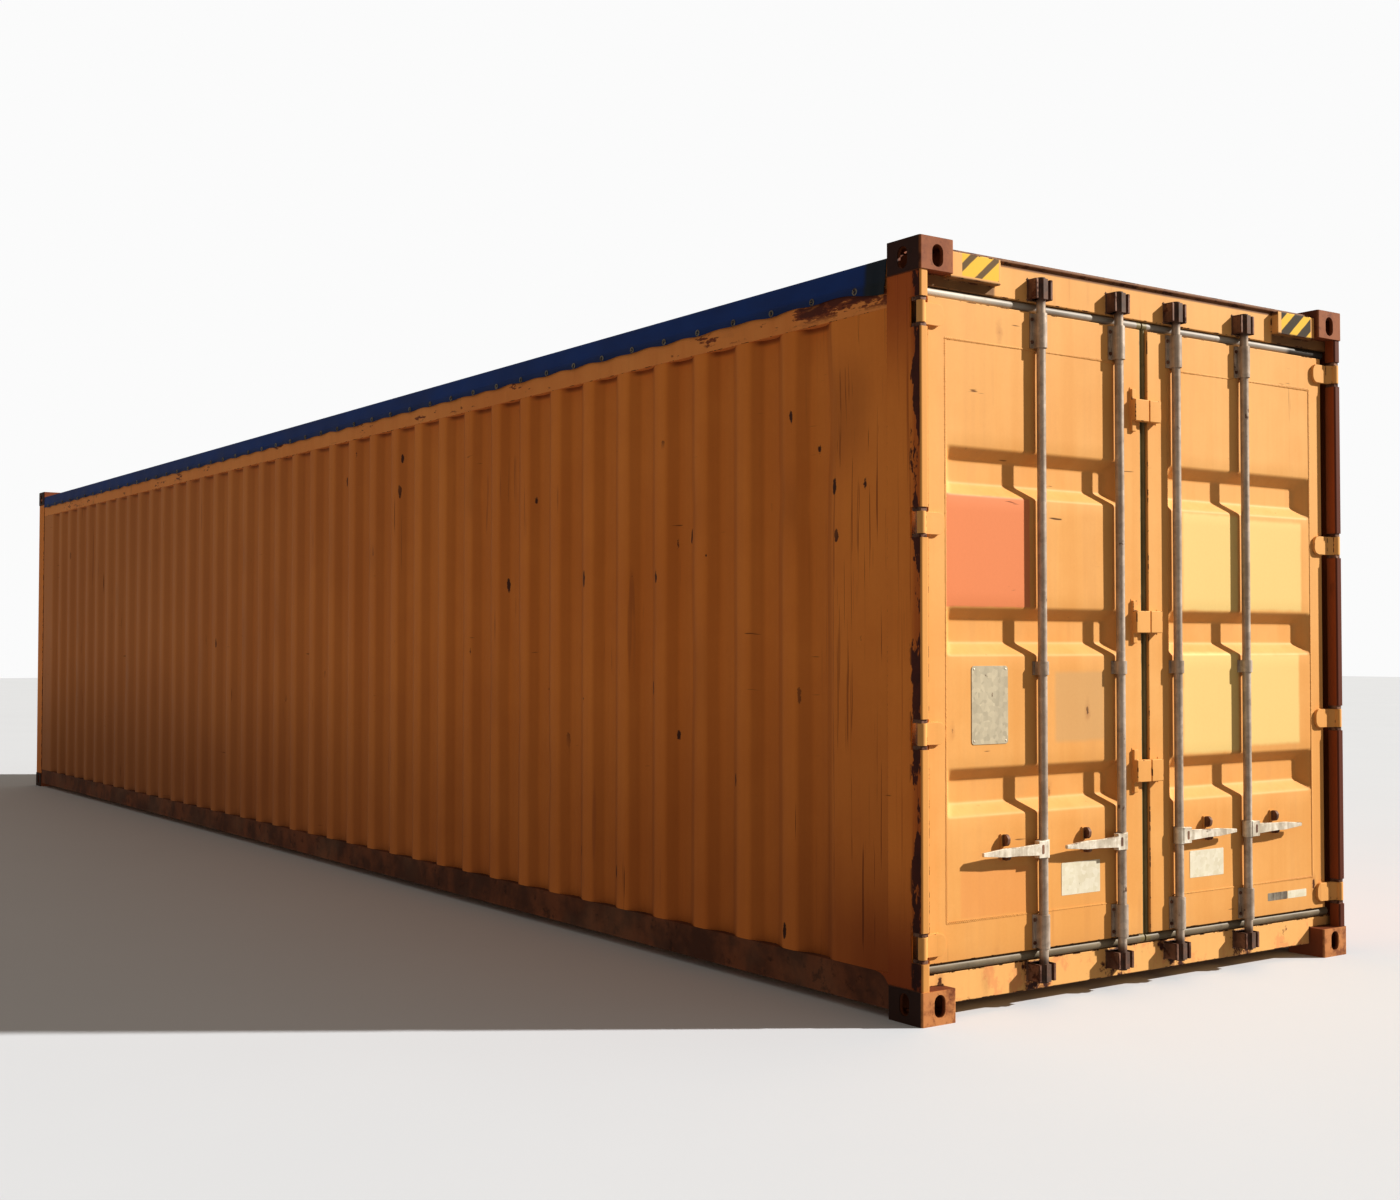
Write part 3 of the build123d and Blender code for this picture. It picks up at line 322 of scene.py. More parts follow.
def under_finish(name):
    """Dark brown underframe paint with rust scale and road dirt."""
    material, at = start_finish(name)
    blotch = at.noise(4.5, 5, 0.65)
    colour = blotch.rise(0.35, 0.65).blend(rgb(0.080, 0.027, 0.014), rgb(0.19, 0.063, 0.027))
    rust = at.noise(17, 5, 0.7, shift=(4, 1, 8)).rise(0.55, 0.66)
    colour = (rust * 0.8).blend(colour, rust_colour(at))
    dust = at.noise(2.6, 3, shift=(1, 5, 2)).rise(0.45, 0.7)
    colour = (dust * 0.22).blend(colour, rgb(0.20, 0.13, 0.085))
    end_finish(at, colour, 0.6 + 0.25 * blotch, height=blotch + rust * 0.4, strength=0.3, distance=0.002,
               Specular_IOR_Level=0.2)
    return material


def tarp_finish(name):
    """Coated cloth, navy, with a fine weave, rubbed folds, dust and a near-black painted shade on the fold at
    the door end.
    """
    material, at = start_finish(name)
    weave = (at.node("TexWave", {"bands_direction": "X"}, {"Vector": at, "Scale": 75.0, "Distortion": 0.4})
             + at.node("TexWave", {"bands_direction": "Z"}, {"Vector": at, "Scale": 75.0, "Distortion": 0.4}))
    fold = at.noise(2.0, 4, 0.6, stretch=(1.2, 1.0, 3.0))
    colour = fold.rise(0.10, 0.90).blend(rgb(0.003, 0.028, 0.160), rgb(0.007, 0.058, 0.300))
    rubbed = at.noise(11, 5, 0.7, shift=(3, 0, 5)).rise(0.6, 0.74)
    colour = (rubbed * 0.15).blend(colour, rgb(0.06, 0.10, 0.28))
    bay = at.node("Math", {"operation": "FRACT"}, {0: (at.axis(0) + WALL_END) / BOW_SPACING + 0.5})
    on_bow = (bay - 0.5).size().rise(0.075, 0.02) * at.axis(2).rise(RAIL_TOP - 0.002, RAIL_TOP + 0.006)
    colour = (on_bow * (0.16 + 0.5 * rubbed)).blend(colour, rgb(0.05, 0.11, 0.34))
    dust = at.noise(1.1, 4, 0.6, shift=(8, 3, 1)).rise(0.5, 0.8)
    colour = (dust * 0.05).blend(colour, rgb(0.25, 0.24, 0.22))
    soiled = at.axis(2).rise(RAIL_TOP - 0.060, RAIL_TOP - 0.094) * (0.3 + 0.7 * at.noise(3.0, 4, 0.6))
    colour = (soiled * 0.85).tint(colour, rgb(0.30, 0.30, 0.26))
    # Painted shade: the fold at the door end is turned near black.
    end_fold_shade = (at.axis(0) + (at.noise(6, 3) - 0.5) * 0.05).rise(WALL_END - 0.133, WALL_END - 0.103)
    colour = (end_fold_shade * 0.9).blend(colour, rgb(0.010, 0.017, 0.015))
    end_finish(at, colour, 0.46 + 0.2 * fold + 0.15 * dust, height=weave * 0.25 + fold * 1.2, strength=0.3,
               distance=0.0016, Specular_IOR_Level=0.22)
    return material


def rectangle(at, low_y, high_y, low_z, high_z, soft=0.004):
    """A painted oblong on a door, with slightly ragged edges."""
    wobble = (at.noise(14, 3) - 0.5) * 0.012
    across, level = at.axis(1) + wobble, at.axis(2) + wobble
    return across.within(low_y, high_y, soft) * level.within(low_z, high_z, soft)


def left_door_patches(at, colour):
    """A salmon patch and two faint ones where markings were painted over."""
    colour = rectangle(at, -1.06, -0.632, 1.452, 1.852).blend(colour, rgb(0.72, 0.262, 0.118))
    colour = (rectangle(at, -0.50, -0.235, 0.955, 1.215, 0.012) * 0.75).blend(colour, rgb(0.60, 0.375, 0.175))
    return (rectangle(at, -0.985, -0.64, 0.345, 0.51, 0.006) * 0.3).blend(colour, rgb(0.72, 0.27, 0.09))


def right_door_patches(at, colour):
    """Four cream patches in the squares between the grooves."""
    for low_y, high_y, low_z, high_z in ((0.232, 0.575, 1.455, 1.842), (0.64, 0.995, 1.46, 1.83),
                                         (0.228, 0.575, 0.885, 1.285), (0.64, 0.975, 0.905, 1.275)):
        patch = rectangle(at, low_y, high_y, low_z, high_z, 0.01) * 0.85
        colour = patch.blend(colour, rgb(0.80, 0.625, 0.275))
    return colour


def post_face(front):
    """Paint of a rear post: its front lip, and maroon chips and runs on its side face near the corner."""
    def patches(at, colour):
        x, y, z = (at.axis(i) for i in range(3))
        side_face = y.size().rise(beside(0.0065), beside(0.0045))
        corner = x.rise(behind(0.084), behind(0.016)) * side_face
        knock = at.noise(5.5, 5, 0.7, stretch=(2.2, 2.2, 0.75), shift=(4, 0, 2)) + corner * 0.15
        primer = at.noise(30, 4, 0.6).blend(rgb(0.030, 0.008, 0.006), rgb(0.135, 0.026, 0.014))
        run = at.noise(1.0, 4, 0.6, stretch=(60, 60, 1.3), shift=(0, 3, 1)).rise(0.52, 0.68)
        colour = (corner.rise(0.25, 1.0) * 0.7).tint(colour, rgb(0.56, 0.38, 0.34))
        near_door = x.rise(behind(0.166), behind(0.076))
        colour = (side_face * run * near_door * 0.6).tint(colour, rgb(0.45, 0.30, 0.26))
        colour = (corner.rise(0.12, 0.5) * knock.rise(0.60, 0.63)).blend(colour, primer)
        colour = (z.rise(0.62, 0.14) * side_face * 0.9).tint(colour, rgb(0.34, 0.18, 0.15))
        colour = (z.rise(2.15, 2.58) * side_face * (0.7 + 0.3 * run)).tint(colour, rgb(0.46, 0.21, 0.19))
        lip = x.rise(behind(0.012), behind(0.007))
        return (lip * (1 - side_face)).blend(colour, front)
    return patches


def rail_wear(at, colour):
    """Red-brown wear where the tarpaulin's skirt rubs the top rails, worst near the doors."""
    under = at.axis(2).within(RAIL_LOW + 0.016, RAIL_TOP - 0.078, 0.016)
    near = at.axis(0).rise(4.2, 5.9)
    rub = at.noise(6.0, 5, 0.7, stretch=(0.55, 1, 2.0), shift=(1, 3, 6)) + near * 0.12
    colour = (under * rub.rise(0.60, 0.64)).blend(colour, rgb(0.24, 0.060, 0.022))
    colour = (under * rub.rise(0.66, 0.69)).blend(colour, rgb(0.12, 0.026, 0.015))
    bright = at.noise(7.0, 4, 0.65, stretch=(0.6, 1, 2.0), shift=(7, 1, 2)).rise(0.60, 0.66) * near
    return (bright * 0.5).blend(colour, rgb(0.66, 0.26, 0.085))


def casting_faces(shaded_side_colour, lit_end_colour):
    """Colours for castings: painted shade darkens their side faces and painted light makes their end faces
    paler.
    """
    def patches(at, colour):
        side_face = at.axis(1).size().rise(beside(0.0075), beside(0.0025))
        end_face = at.axis(0).size().rise(behind(0.0095), behind(0.0025))
        blotch = at.noise(13, 5, 0.65, shift=(5, 2, 9))
        # Painted shade on the side faces, then painted light in blotches on the end faces.
        colour = (side_face * (0.86 + 0.14 * blotch)).blend(colour, shaded_side_colour)
        colour = (end_face * blotch.rise(0.30, 0.56)).blend(colour, lit_end_colour)
        pits = at.noise(34, 4, 0.7, shift=(1, 1, 4)).rise(0.56, 0.68)
        return (pits * 0.55).tint(colour, rgb(0.36, 0.24, 0.2))
    return patches


def header_marks(at, colour):
    """Yellow and black hazard stripes on the header's end blocks, a painted shadow under the blocks, and a
    dark lip along its top.
    """
    front = at.axis(0).rise(behind(0.0205), behind(0.0195))
    wobble = (at.noise(20, 3) - 0.5) * 0.006
    slant = at.axis(2) - at.axis(1) * 0.85 + wobble
    for low_y, high_y, low_z, high_z, start, width, dark in (
            (-1.000, -0.818, 2.628, 2.712, 0.02, 0.68, rgb(0.13, 0.070, 0.016)),
            (0.830, 1.030, 2.612, 2.712, 0.062, 0.45, rgb(0.030, 0.017, 0.004))):
        band = at.node("Math", {"operation": "FRACT"}, {0: (slant + start) / 0.098})
        yellow = (band - 0.5).size().rise(width / 2 + 0.03, width / 2 - 0.03)
        stripes = yellow.blend(dark, rgb(0.80, 0.50, 0.045))
        mask = front * at.axis(1).within(low_y, high_y, 0.001) * at.axis(2).within(low_z, high_z, 0.001)
        colour = (mask * (1 - 0.5 * at.noise(40, 4, 0.7).rise(0.6, 0.72))).blend(colour, stripes)
    level = at.axis(2)
    # Painted shadow: a dark band on the header just under its end blocks.
    under = level.rise(2.626, 2.619) * at.axis(1).size().rise(0.800, 0.815) * (0.6 + 0.4 * at.noise(11, 4))
    colour = (under * 0.92).blend(colour, rgb(0.060, 0.020, 0.010))
    lip = level.rise(2.692, 2.700) * (1 - front)
    return (lip * (0.7 + 0.3 * at.noise(12, 4))).blend(colour, rgb(0.10, 0.026, 0.014))


def sill_marks(at, colour):
    """Rust round the keepers of the sill, and salmon flakes between them."""
    across = at.axis(1).size()
    near = (across - OUTER_BAR).size().least((across - INNER_BAR).size()).rise(0.105, 0.045)
    ragged = at.noise(9, 5, 0.7, stretch=(1, 1, 0.8), shift=(2, 5, 3))
    colour = (ragged.rise(0.54, 0.62) * 0.55).blend(colour, rgb(0.74, 0.30, 0.13))
    worn = at.noise(11, 5, 0.7, shift=(6, 1, 2)) + near * 0.16
    colour = (worn.rise(0.64, 0.69) * 0.7).blend(colour, rgb(0.20, 0.055, 0.022))
    return (worn.rise(0.69, 0.72)).blend(colour, rgb(0.055, 0.014, 0.008))


def wall_shade(at, colour):
    """Painted shade on the corrugations' slopes and valley floors, painted shadow in the valleys under the
    rails, chips and scratches by the doors, dust far off.
    """
    along, across, level = at.axis(0), at.axis(1).size(), at.axis(2)
    # Painted shade: the slopes of the corrugations are darkened, and the valley floors a little.
    colour = (across.within(beside(0.039), beside(0.013), 0.005) * 0.5).tint(colour, rgb(0.58, 0.52, 0.48))
    colour = (across.rise(beside(0.033), beside(0.041)) * 0.3).tint(colour, rgb(0.72, 0.66, 0.62))
    # Painted shadow of the top rail's overhang, in the valleys just under it.
    valley = across.rise(beside(0.014), beside(0.034))
    rail_shadow_band = level.rise(RAIL_LOW - 0.028, RAIL_LOW - 0.006)
    colour = (valley * rail_shadow_band * 0.7).tint(colour, rgb(0.24, 0.13, 0.10))
    far = along.rise(4.5, -4.0)
    colour = (far * 0.55).blend(colour, rgb(0.49, 0.230, 0.105))
    colour = (far * level.rise(1.25, 0.25) * 0.5).tint(colour, rgb(0.66, 0.68, 0.70))
    ragged = at.noise(30, 4, 0.7, shift=(8, 1, 5))
    chip = at.cells(3.0, stretch=(2.6, 2.6, 0.95), shift=(0.7, 0.3, 2.2)) + ragged * 0.16
    scattered = (at.noise(1.3, 2, shift=(4, 9, 2)) - far * 0.24).rise(0.42, 0.5)
    colour = (chip.rise(0.185, 0.165) * scattered).blend(colour, rgb(0.085, 0.026, 0.013))
    colour = (along.rise(5.2, 5.9) * level.rise(0.62, 0.18) * 0.8).tint(colour, rgb(0.46, 0.30, 0.25))
    scratch = at.noise(1.0, 3, 0.55, stretch=(58, 58, 1.3), shift=(1, 2, 7)).rise(0.60, 0.65)
    return (scratch * along.rise(5.35, 5.85) * 0.7).tint(colour, rgb(0.30, 0.20, 0.17))


def bar_ends(at):
    """Rust on the cams and the ends of the lock bars."""
    level = at.axis(2)
    ends = level.rise(0.19, 0.155).most(level.rise(2.560, 2.590))
    return ends * (0.75 + 0.25 * at.noise(16, 4))


# The side paint is a deeper, more saturated orange than the door paint: painted shade that stands in for the
# look of the shaded side wall.
SIDE_ORANGE = rgb(0.765, 0.258, 0.044)
SIDE_FADED = rgb(0.88, 0.328, 0.066)
DOOR_ORANGE = rgb(0.71, 0.365, 0.115)
DOOR_FADED = rgb(0.79, 0.455, 0.175)

SIDE_PAINT = paint_finish("side_paint", SIDE_ORANGE, SIDE_FADED, worn=0.8, grime_top=1.5,
                          patches=wall_shade, spots=0.0)
DOOR_PAINT = paint_finish("door_paint", DOOR_ORANGE, DOOR_FADED, worn=0.35, grime_top=0.3, grime=0.35)
LEFT_PANEL = paint_finish("left_panel_paint", DOOR_ORANGE, DOOR_FADED, worn=0.1, grime_top=0.3, grime=0.3,
                          patches=left_door_patches)
RIGHT_PANEL = paint_finish("right_panel_paint", DOOR_ORANGE, DOOR_FADED, worn=0.1, grime_top=0.3, grime=0.3,
                           patches=right_door_patches)
POST_PAINT = paint_finish("post_paint", SIDE_ORANGE, SIDE_FADED, worn=0.9, grime_top=1.2)
LEFT_POST = paint_finish("left_post_paint", SIDE_ORANGE, SIDE_FADED, worn=0.8, grime_top=1.2, grime=0.3,
                         patches=post_face(DOOR_ORANGE))
RIGHT_POST = paint_finish("right_post_paint", rgb(0.32, 0.080, 0.022), rgb(0.40, 0.105, 0.030), worn=0.8,
                          grime_top=1.2, grime=0.3, patches=post_face(rgb(0.115, 0.026, 0.011)))
CASTING_BROWN = rgb(0.16, 0.045, 0.020)
CASTING_RED = rgb(0.27, 0.080, 0.028)
TOP_CASTING = paint_finish("top_casting_finish", CASTING_BROWN, CASTING_RED, worn=1.2,
                           patches=casting_faces(rgb(0.030, 0.009, 0.008), rgb(0.31, 0.105, 0.040)))
LOW_CASTING = paint_finish("bottom_casting_finish", CASTING_BROWN, CASTING_RED, worn=1.2, grime=0.2,
                           patches=casting_faces(rgb(0.024, 0.010, 0.008), rgb(0.60, 0.270, 0.105)))
RAIL_PAINT = paint_finish("rail_paint", rgb(0.83, 0.315, 0.085), rgb(0.93, 0.40, 0.125), worn=0.6,
                          patches=rail_wear, spots=0.3)
SILL_PAINT = paint_finish("sill_paint", DOOR_FADED, rgb(0.84, 0.50, 0.20), worn=0.6, grime_top=0.3, grime=0.0,
                          patches=sill_marks)
HEADER_PAINT = paint_finish("header_paint", DOOR_ORANGE, DOOR_FADED, worn=0.5, grime_top=0.3,
                            patches=header_marks)
PLATE = plain_metal("plate_finish", rgb(0.49, 0.44, 0.335), rgb(0.43, 0.385, 0.295), 0.1, 0.0, 0.55)
LABEL = plain_metal("label_finish", rgb(0.72, 0.69, 0.575), rgb(0.66, 0.62, 0.51), 0.0, 0.0, 0.55)
UNDER_PAINT = under_finish("underframe_finish")
GALVANISED = plain_metal("galvanised_finish", rgb(0.76, 0.71, 0.63), rgb(0.46, 0.40, 0.32), 0.35, 0.12)
BAR_STEEL = plain_metal("bar_finish", rgb(0.52, 0.445, 0.385), rgb(0.34, 0.265, 0.210), 0.3, 0.1, 0.36,
                        patches=bar_ends)
FORGED = plain_metal("forged_finish", rgb(0.26, 0.135, 0.085), rgb(0.095, 0.042, 0.028), 0.2, 0.55, 0.55)
DULL_STEEL = plain_metal("eyelet_finish", rgb(0.30, 0.27, 0.22), rgb(0.11, 0.09, 0.07), 0.4, 0.3)
RUBBER = rubber_finish("gasket_finish")
PLYWOOD = plywood_finish("plywood_finish")
TARP = tarp_finish("tarpaulin_finish")

# The nodes whose edges are rounded: finish, material slot and radius
ROUNDED = {
    "bottom_castings": (LOW_CASTING, "casting_paint", 0.009),
    "top_castings": (TOP_CASTING, "casting_paint", 0.009),
    "left_rear_post": (LEFT_POST, "orange_paint", 0.002),
    "right_rear_post": (RIGHT_POST, "orange_paint", 0.002),
    "front_posts": (POST_PAINT, "orange_paint", 0.006),
    "left_top_rail": (RAIL_PAINT, "orange_paint", 0.006),
    "right_top_rail": (RAIL_PAINT, "orange_paint", 0.006),
    "front_top_rail": (RAIL_PAINT, "orange_paint", 0.006),
    "left_bottom_rail": (UNDER_PAINT, "underframe_paint", 0.003),
    "right_bottom_rail": (UNDER_PAINT, "underframe_paint", 0.003),
    "front_sill": (UNDER_PAINT, "underframe_paint", 0.004),
    "door_sill": (SILL_PAINT, "orange_paint", 0.004),
    "door_header": (HEADER_PAINT, "orange_paint", 0.004),
    "cam_keepers": (FORGED, "forged_steel", 0.003),
}
LEAF_ROUNDED = {
    "door_frame": (DOOR_PAINT, "orange_paint", 0.003),
    "hinges": (DOOR_PAINT, "orange_paint", 0.003),
    "bar_bearings": (BAR_STEEL, "bare_steel", 0.002),
    "rack_blocks": (DOOR_PAINT, "orange_paint", 0.003),
}
BAR_ROUNDED = {"handle": (GALVANISED, "galvanised", 0.003), "lock_bar": (BAR_STEEL, "bare_steel", 0.002)}

# The finish of every node
NODE_FINISH = {
    "hinge_pins": FORGED, "left_side_wall": SIDE_PAINT, "right_side_wall": SIDE_PAINT,
    "front_wall": SIDE_PAINT, "gooseneck_tunnel": UNDER_PAINT, "cross_members": UNDER_PAINT,
    "floor": PLYWOOD, "roof_bows": GALVANISED, "tarpaulin": TARP,
    "left_door_panel": LEFT_PANEL, "right_door_panel": RIGHT_PANEL,
}
NODE_FINISH.update({node: row[0] for node, row in ROUNDED.items()})
for leaf in LEAVES:
    NODE_FINISH.update({f"{leaf}_{part}": row[0] for part, row in LEAF_ROUNDED.items()})
    NODE_FINISH.update({f"{leaf}_door_gasket": RUBBER, f"{leaf}_handle_catches": FORGED})
for bar in BARS:
    NODE_FINISH.update({f"{bar}_{part}": row[0] for part, row in BAR_ROUNDED.items()})

for name, material in NODE_FINISH.items():
    slots = NODES[name].data.materials
    slots.clear()
    slots.append(material)


# How pieces are made and linked

def add_piece(name, mesh, body, material, stands_for=()):
    """Links a finished mesh as a piece that rides on a body."""
    piece = bpy.data.objects.new(name, mesh)
    bpy.context.scene.collection.objects.link(piece)
    if material is not None:
        mesh.materials.clear()
        mesh.materials.append(material)
    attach(piece, body)
    if stands_for:
        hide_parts(*stands_for)
    return piece


def finished(work, name, sharp=30.0):
    """A mesh from a bmesh, shaded smooth up to an angle in degrees."""
    mesh = bpy.data.meshes.new(name)
    work.to_mesh(mesh)
    work.free()
    mesh.shade_smooth()
    mesh.set_sharp_from_angle(angle=math.radians(sharp))
    return mesh


def evaluated(piece, name):
    """A plain mesh of what a piece's modifiers make. The piece itself is removed."""
    bpy.context.view_layer.update()
    seen = piece.evaluated_get(bpy.context.evaluated_depsgraph_get())
    mesh = bpy.data.meshes.new_from_object(seen)
    mesh.name = name
    source = piece.data
    bpy.data.objects.remove(piece)
    bpy.data.meshes.remove(source)
    return mesh


def softened(node, body, material, radius):
    """A copy of a CAD node with its edges rounded. The rounded faces carry the wear attribute."""
    work = bmesh.new()
    work.from_mesh(NODES[node].data)
    bmesh.ops.remove_doubles(work, verts=work.verts, dist=1e-5)
    bmesh.ops.dissolve_limit(work, angle_limit=math.radians(0.4), verts=work.verts, edges=work.edges)
    creases = [e for e in work.edges if len(e.link_faces) == 2 and e.calc_face_angle() > math.radians(35)]
    made = bmesh.ops.bevel(work, geom=creases, offset=radius, offset_type="OFFSET", segments=2,
                           profile=0.5, affect="EDGES", clamp_overlap=True, material=-1, loop_slide=True)
    wear = work.loops.layers.float.new("wear")
    for face in made["faces"]:
        for corner in face.loops:
            corner[wear] = 1.0
    name = f"{node}_rounded"
    piece = bpy.data.objects.new(name, finished(work, name, 50.0))
    bpy.context.scene.collection.objects.link(piece)
    shading = piece.modifiers.new("flat faces", "WEIGHTED_NORMAL")
    shading.keep_sharp = True
    shading.weight = 90
    return add_piece(name, evaluated(piece, name), body, material, (node,))


def rounded_line(points, reach, steps=4):
    """The line with its corners rounded by short curves."""
    line = [np.array(points[0], float)]
    for before, corner, after in zip(points, points[1:], points[2:]):
        before, corner, after = (np.array(p, float) for p in (before, corner, after))
        start = corner + (before - corner) * min(reach / np.linalg.norm(before - corner), 0.48)
        end = corner + (after - corner) * min(reach / np.linalg.norm(after - corner), 0.48)
        for i in range(steps):
            t = i / (steps - 1)
            line.append((1 - t) ** 2 * start + 2 * t * (1 - t) * corner + t ** 2 * end)
    line.append(np.array(points[-1], float))
    return line


def wave(span, pitch, flat_end, valley, slope, depth):
    """Points (along, depth) of a pressed wall's outer line, as in the CAD source."""
    count = int((span - 2 * flat_end - valley - 2 * slope) / pitch) + 1
    points = [(-span / 2, 0.0)]
    for i in range(count):
        middle = (i - (count - 1) / 2) * pitch
        points += [(middle - valley / 2 - slope, 0.0), (middle - valley / 2, depth)]
        points += [(middle + valley / 2, depth), (middle + valley / 2 + slope, 0.0)]
    return points + [(span / 2, 0.0)]


def smooth(low, high, value):
    t = min(max((value - low) / (high - low), 0.0), 1.0)
    return t * t * (3 - 2 * t)


def sheet_grid(columns, rows, place):
    """A bmesh grid with a vertex at place(column, row) for each pair."""
    work = bmesh.new()
    grid = [[work.verts.new(place(column, row)) for row in rows] for column in columns]
    for i in range(len(columns) - 1):
        for j in range(len(rows) - 1):
            work.faces.new((grid[i][j], grid[i + 1][j], grid[i + 1][j + 1], grid[i][j + 1]))
    return work


def thickened(work, name, thickness, outward, sharp=30.0, finishes=()):
    """The sheet with a real thickness behind its front, which faces outward. finishes: front and back."""
    work.faces.ensure_lookup_table()
    work.normal_update()
    if sum((f.normal for f in work.faces), Vector()).dot(outward) < 0:
        bmesh.ops.reverse_faces(work, faces=work.faces)
    mesh = bpy.data.meshes.new(name)
    work.to_mesh(mesh)
    work.free()
    piece = bpy.data.objects.new(name, mesh)
    bpy.context.scene.collection.objects.link(piece)
    solid = piece.modifiers.new("thickness", "SOLIDIFY")
    solid.thickness = thickness
    solid.offset = -1.0
    for finish in finishes:
        mesh.materials.append(finish)
    solid.material_offset = len(finishes) - 1 if finishes else 0
    mesh = evaluated(piece, name)
    mesh.shade_smooth()
    mesh.set_sharp_from_angle(angle=math.radians(sharp))
    return mesh


WALL_BEND = 0.022
WALL_STEP = 0.06
WALL_ROWS = 34
WALL_EASE = 0.14
WALL_END_EASE = 0.15
WALL_BUCKLE = 0.0012
KNOCK_LEVELS = (0.35, 2.2)
KNOCK_REACH = (0.1, 0.34)
KNOCK_DEPTH = (0.002, 0.008)


def pressed_wall(name, node, line, dents, seed, place, outward):
    """A corrugated wall with rounded bends and knocks in it. place(along, inward, level) gives a point."""
    columns = [tuple(p) for p in rounded_line(line, WALL_BEND)]
    filled = [columns[0]]
    for here in columns[1:]:
        last = filled[-1]
        run, rise = here[0] - last[0], here[1] - last[1]
        parts = max(1, int(run / WALL_STEP))
        filled += [(last[0] + run * k / parts, last[1] + rise * k / parts) for k in range(1, parts + 1)]
    span = line[-1][0]
    levels = [BASE_TOP + (RAIL_LOW - BASE_TOP) * i / WALL_ROWS for i in range(WALL_ROWS + 1)]
    knocks = random.Random(seed)
    hits = [(knocks.uniform(-span, span) * 0.97, knocks.uniform(*KNOCK_LEVELS), knocks.uniform(*KNOCK_REACH),
             knocks.uniform(*KNOCK_DEPTH)) for _ in range(dents)]

    def point(column, level):
        along, depth = column
        ease = (smooth(0.0, WALL_EASE, level - BASE_TOP) * smooth(0.0, WALL_EASE, RAIL_LOW - level)
                * smooth(0.0, WALL_END_EASE, span - abs(along)))
        push = WALL_BUCKLE + WALL_BUCKLE * noise.noise(Vector((along * 1.3 + seed, level * 1.7, seed)))
        for at_x, at_z, reach, deep in hits:
            gap = ((along - at_x) ** 2 + (level - at_z) ** 2) / reach ** 2
            if gap < 6.0:
                push += deep * math.exp(-2.2 * gap)
        return place(along, FACE_INSET + depth + push * ease, level)

    mesh = thickened(sheet_grid(filled, levels, point), name, SHEET, outward)
    return add_piece(name, mesh, "container", SIDE_PAINT, (node,))


# Corrugated walls

SIDE_LINE = wave(2 * WALL_END, pitch=0.297, flat_end=0.280, valley=0.076, slope=0.070, depth=0.036)
FRONT_LINE = wave(2 * BODY_SIDE, pitch=0.250, flat_end=0.070, valley=0.104, slope=0.018, depth=0.0456)
pressed_wall("left_wall_sheet", "left_side_wall", SIDE_LINE, 30, 11.0,
             lambda along, inward, level: (along, -beside(inward), level), Vector((0, -1, 0)))
pressed_wall("right_wall_sheet", "right_side_wall", SIDE_LINE, 30, 23.0,
             lambda along, inward, level: (along, beside(inward), level), Vector((0, 1, 0)))
pressed_wall("front_wall_sheet", "front_wall", FRONT_LINE, 5, 37.0,
             lambda along, inward, level: (-behind(inward), along, level), Vector((-1, 0, 0)))


# Door panels with their pressed grooves

def eased(t, soft=0.14):
    """t held between 0 and 1, with both ends of the ramp rounded."""
    if t < soft:
        return (t + soft) ** 2 / (4 * soft) if t > -soft else 0.0
    if t > 1 - soft:
        return 1 - (1 + soft - t) ** 2 / (4 * soft) if t < 1 + soft else 1.0
    return t


def softest(first, second, reach):
    """The lesser of two values, with a rounded corner between them."""
    mix = max(reach - abs(first - second), 0.0) / reach
    return min(first, second) - mix * mix * reach / 4


def spread(low, high, step):
    count = max(1, round((high - low) / step))
    return [low + (high - low) * i / count for i in range(count + 1)]


PANEL_EASE = 0.12
PANEL_BUCKLE = 0.0007
GROOVE_CORNER = 0.02


def door_panel(leaf, side, material):
    """The sheet of a leaf. Its grid is finer at the edges and at the bends of the grooves."""
    edge = (0.0, 0.004, 0.010, 0.017, 0.025, 0.034, 0.042, 0.048, 0.054, 0.062, 0.08)
    columns = [PANEL_INNER + e for e in edge]
    columns += spread(PANEL_INNER + edge[-1], PANEL_OUTER - edge[-1], 0.045)[1:-1]
    columns += [PANEL_OUTER - e for e in reversed(edge)]
    half = (0.0, 0.02, 0.032, 0.037, 0.042, 0.048, 0.058, 0.068, 0.076, 0.082, 0.087, 0.093)
    rows = [PANEL_LOW]
    for groove in GROOVES:
        rows += spread(rows[-1], groove - half[-1], 0.05)[1:-1]
        rows += [groove - h for h in reversed(half)] + [groove + h for h in half[1:]]
    rows += spread(rows[-1], PANEL_HIGH, 0.05)[1:]

    def point(across, level):
        from_end = min(across - PANEL_INNER, PANEL_OUTER - across) - GROOVE_MARGIN
        from_edge = max(GROOVE_HALF - abs(level - groove) for groove in GROOVES)
        depth = GROOVE_DEPTH * eased(softest(from_end, from_edge, GROOVE_CORNER) / GROOVE_SLOPE)
        ease = (smooth(0.0, PANEL_EASE, across - PANEL_INNER) * smooth(0.0, PANEL_EASE, PANEL_OUTER - across)
                * smooth(0.0, PANEL_EASE, level - PANEL_LOW) * smooth(0.0, PANEL_EASE, PANEL_HIGH - level))
        buckle = PANEL_BUCKLE + PANEL_BUCKLE * noise.noise(Vector((across * 3.1, level * 2.6, 4.0 + side)))
        return behind(PANEL_FACE + depth + buckle * ease), side * across, level

    work = sheet_grid(columns, rows, point)
    name = f"{leaf}_panel_sheet"
    mesh = thickened(work, name, SHEET, Vector((1, 0, 0)), finishes=(material, DOOR_PAINT))
    return add_piece(name, mesh, f"{leaf}_door", None, (f"{leaf}_door_panel",))


door_panel("left", -1, LEFT_PANEL)
door_panel("right", 1, RIGHT_PANEL)

# Rigid pieces with rounded edges

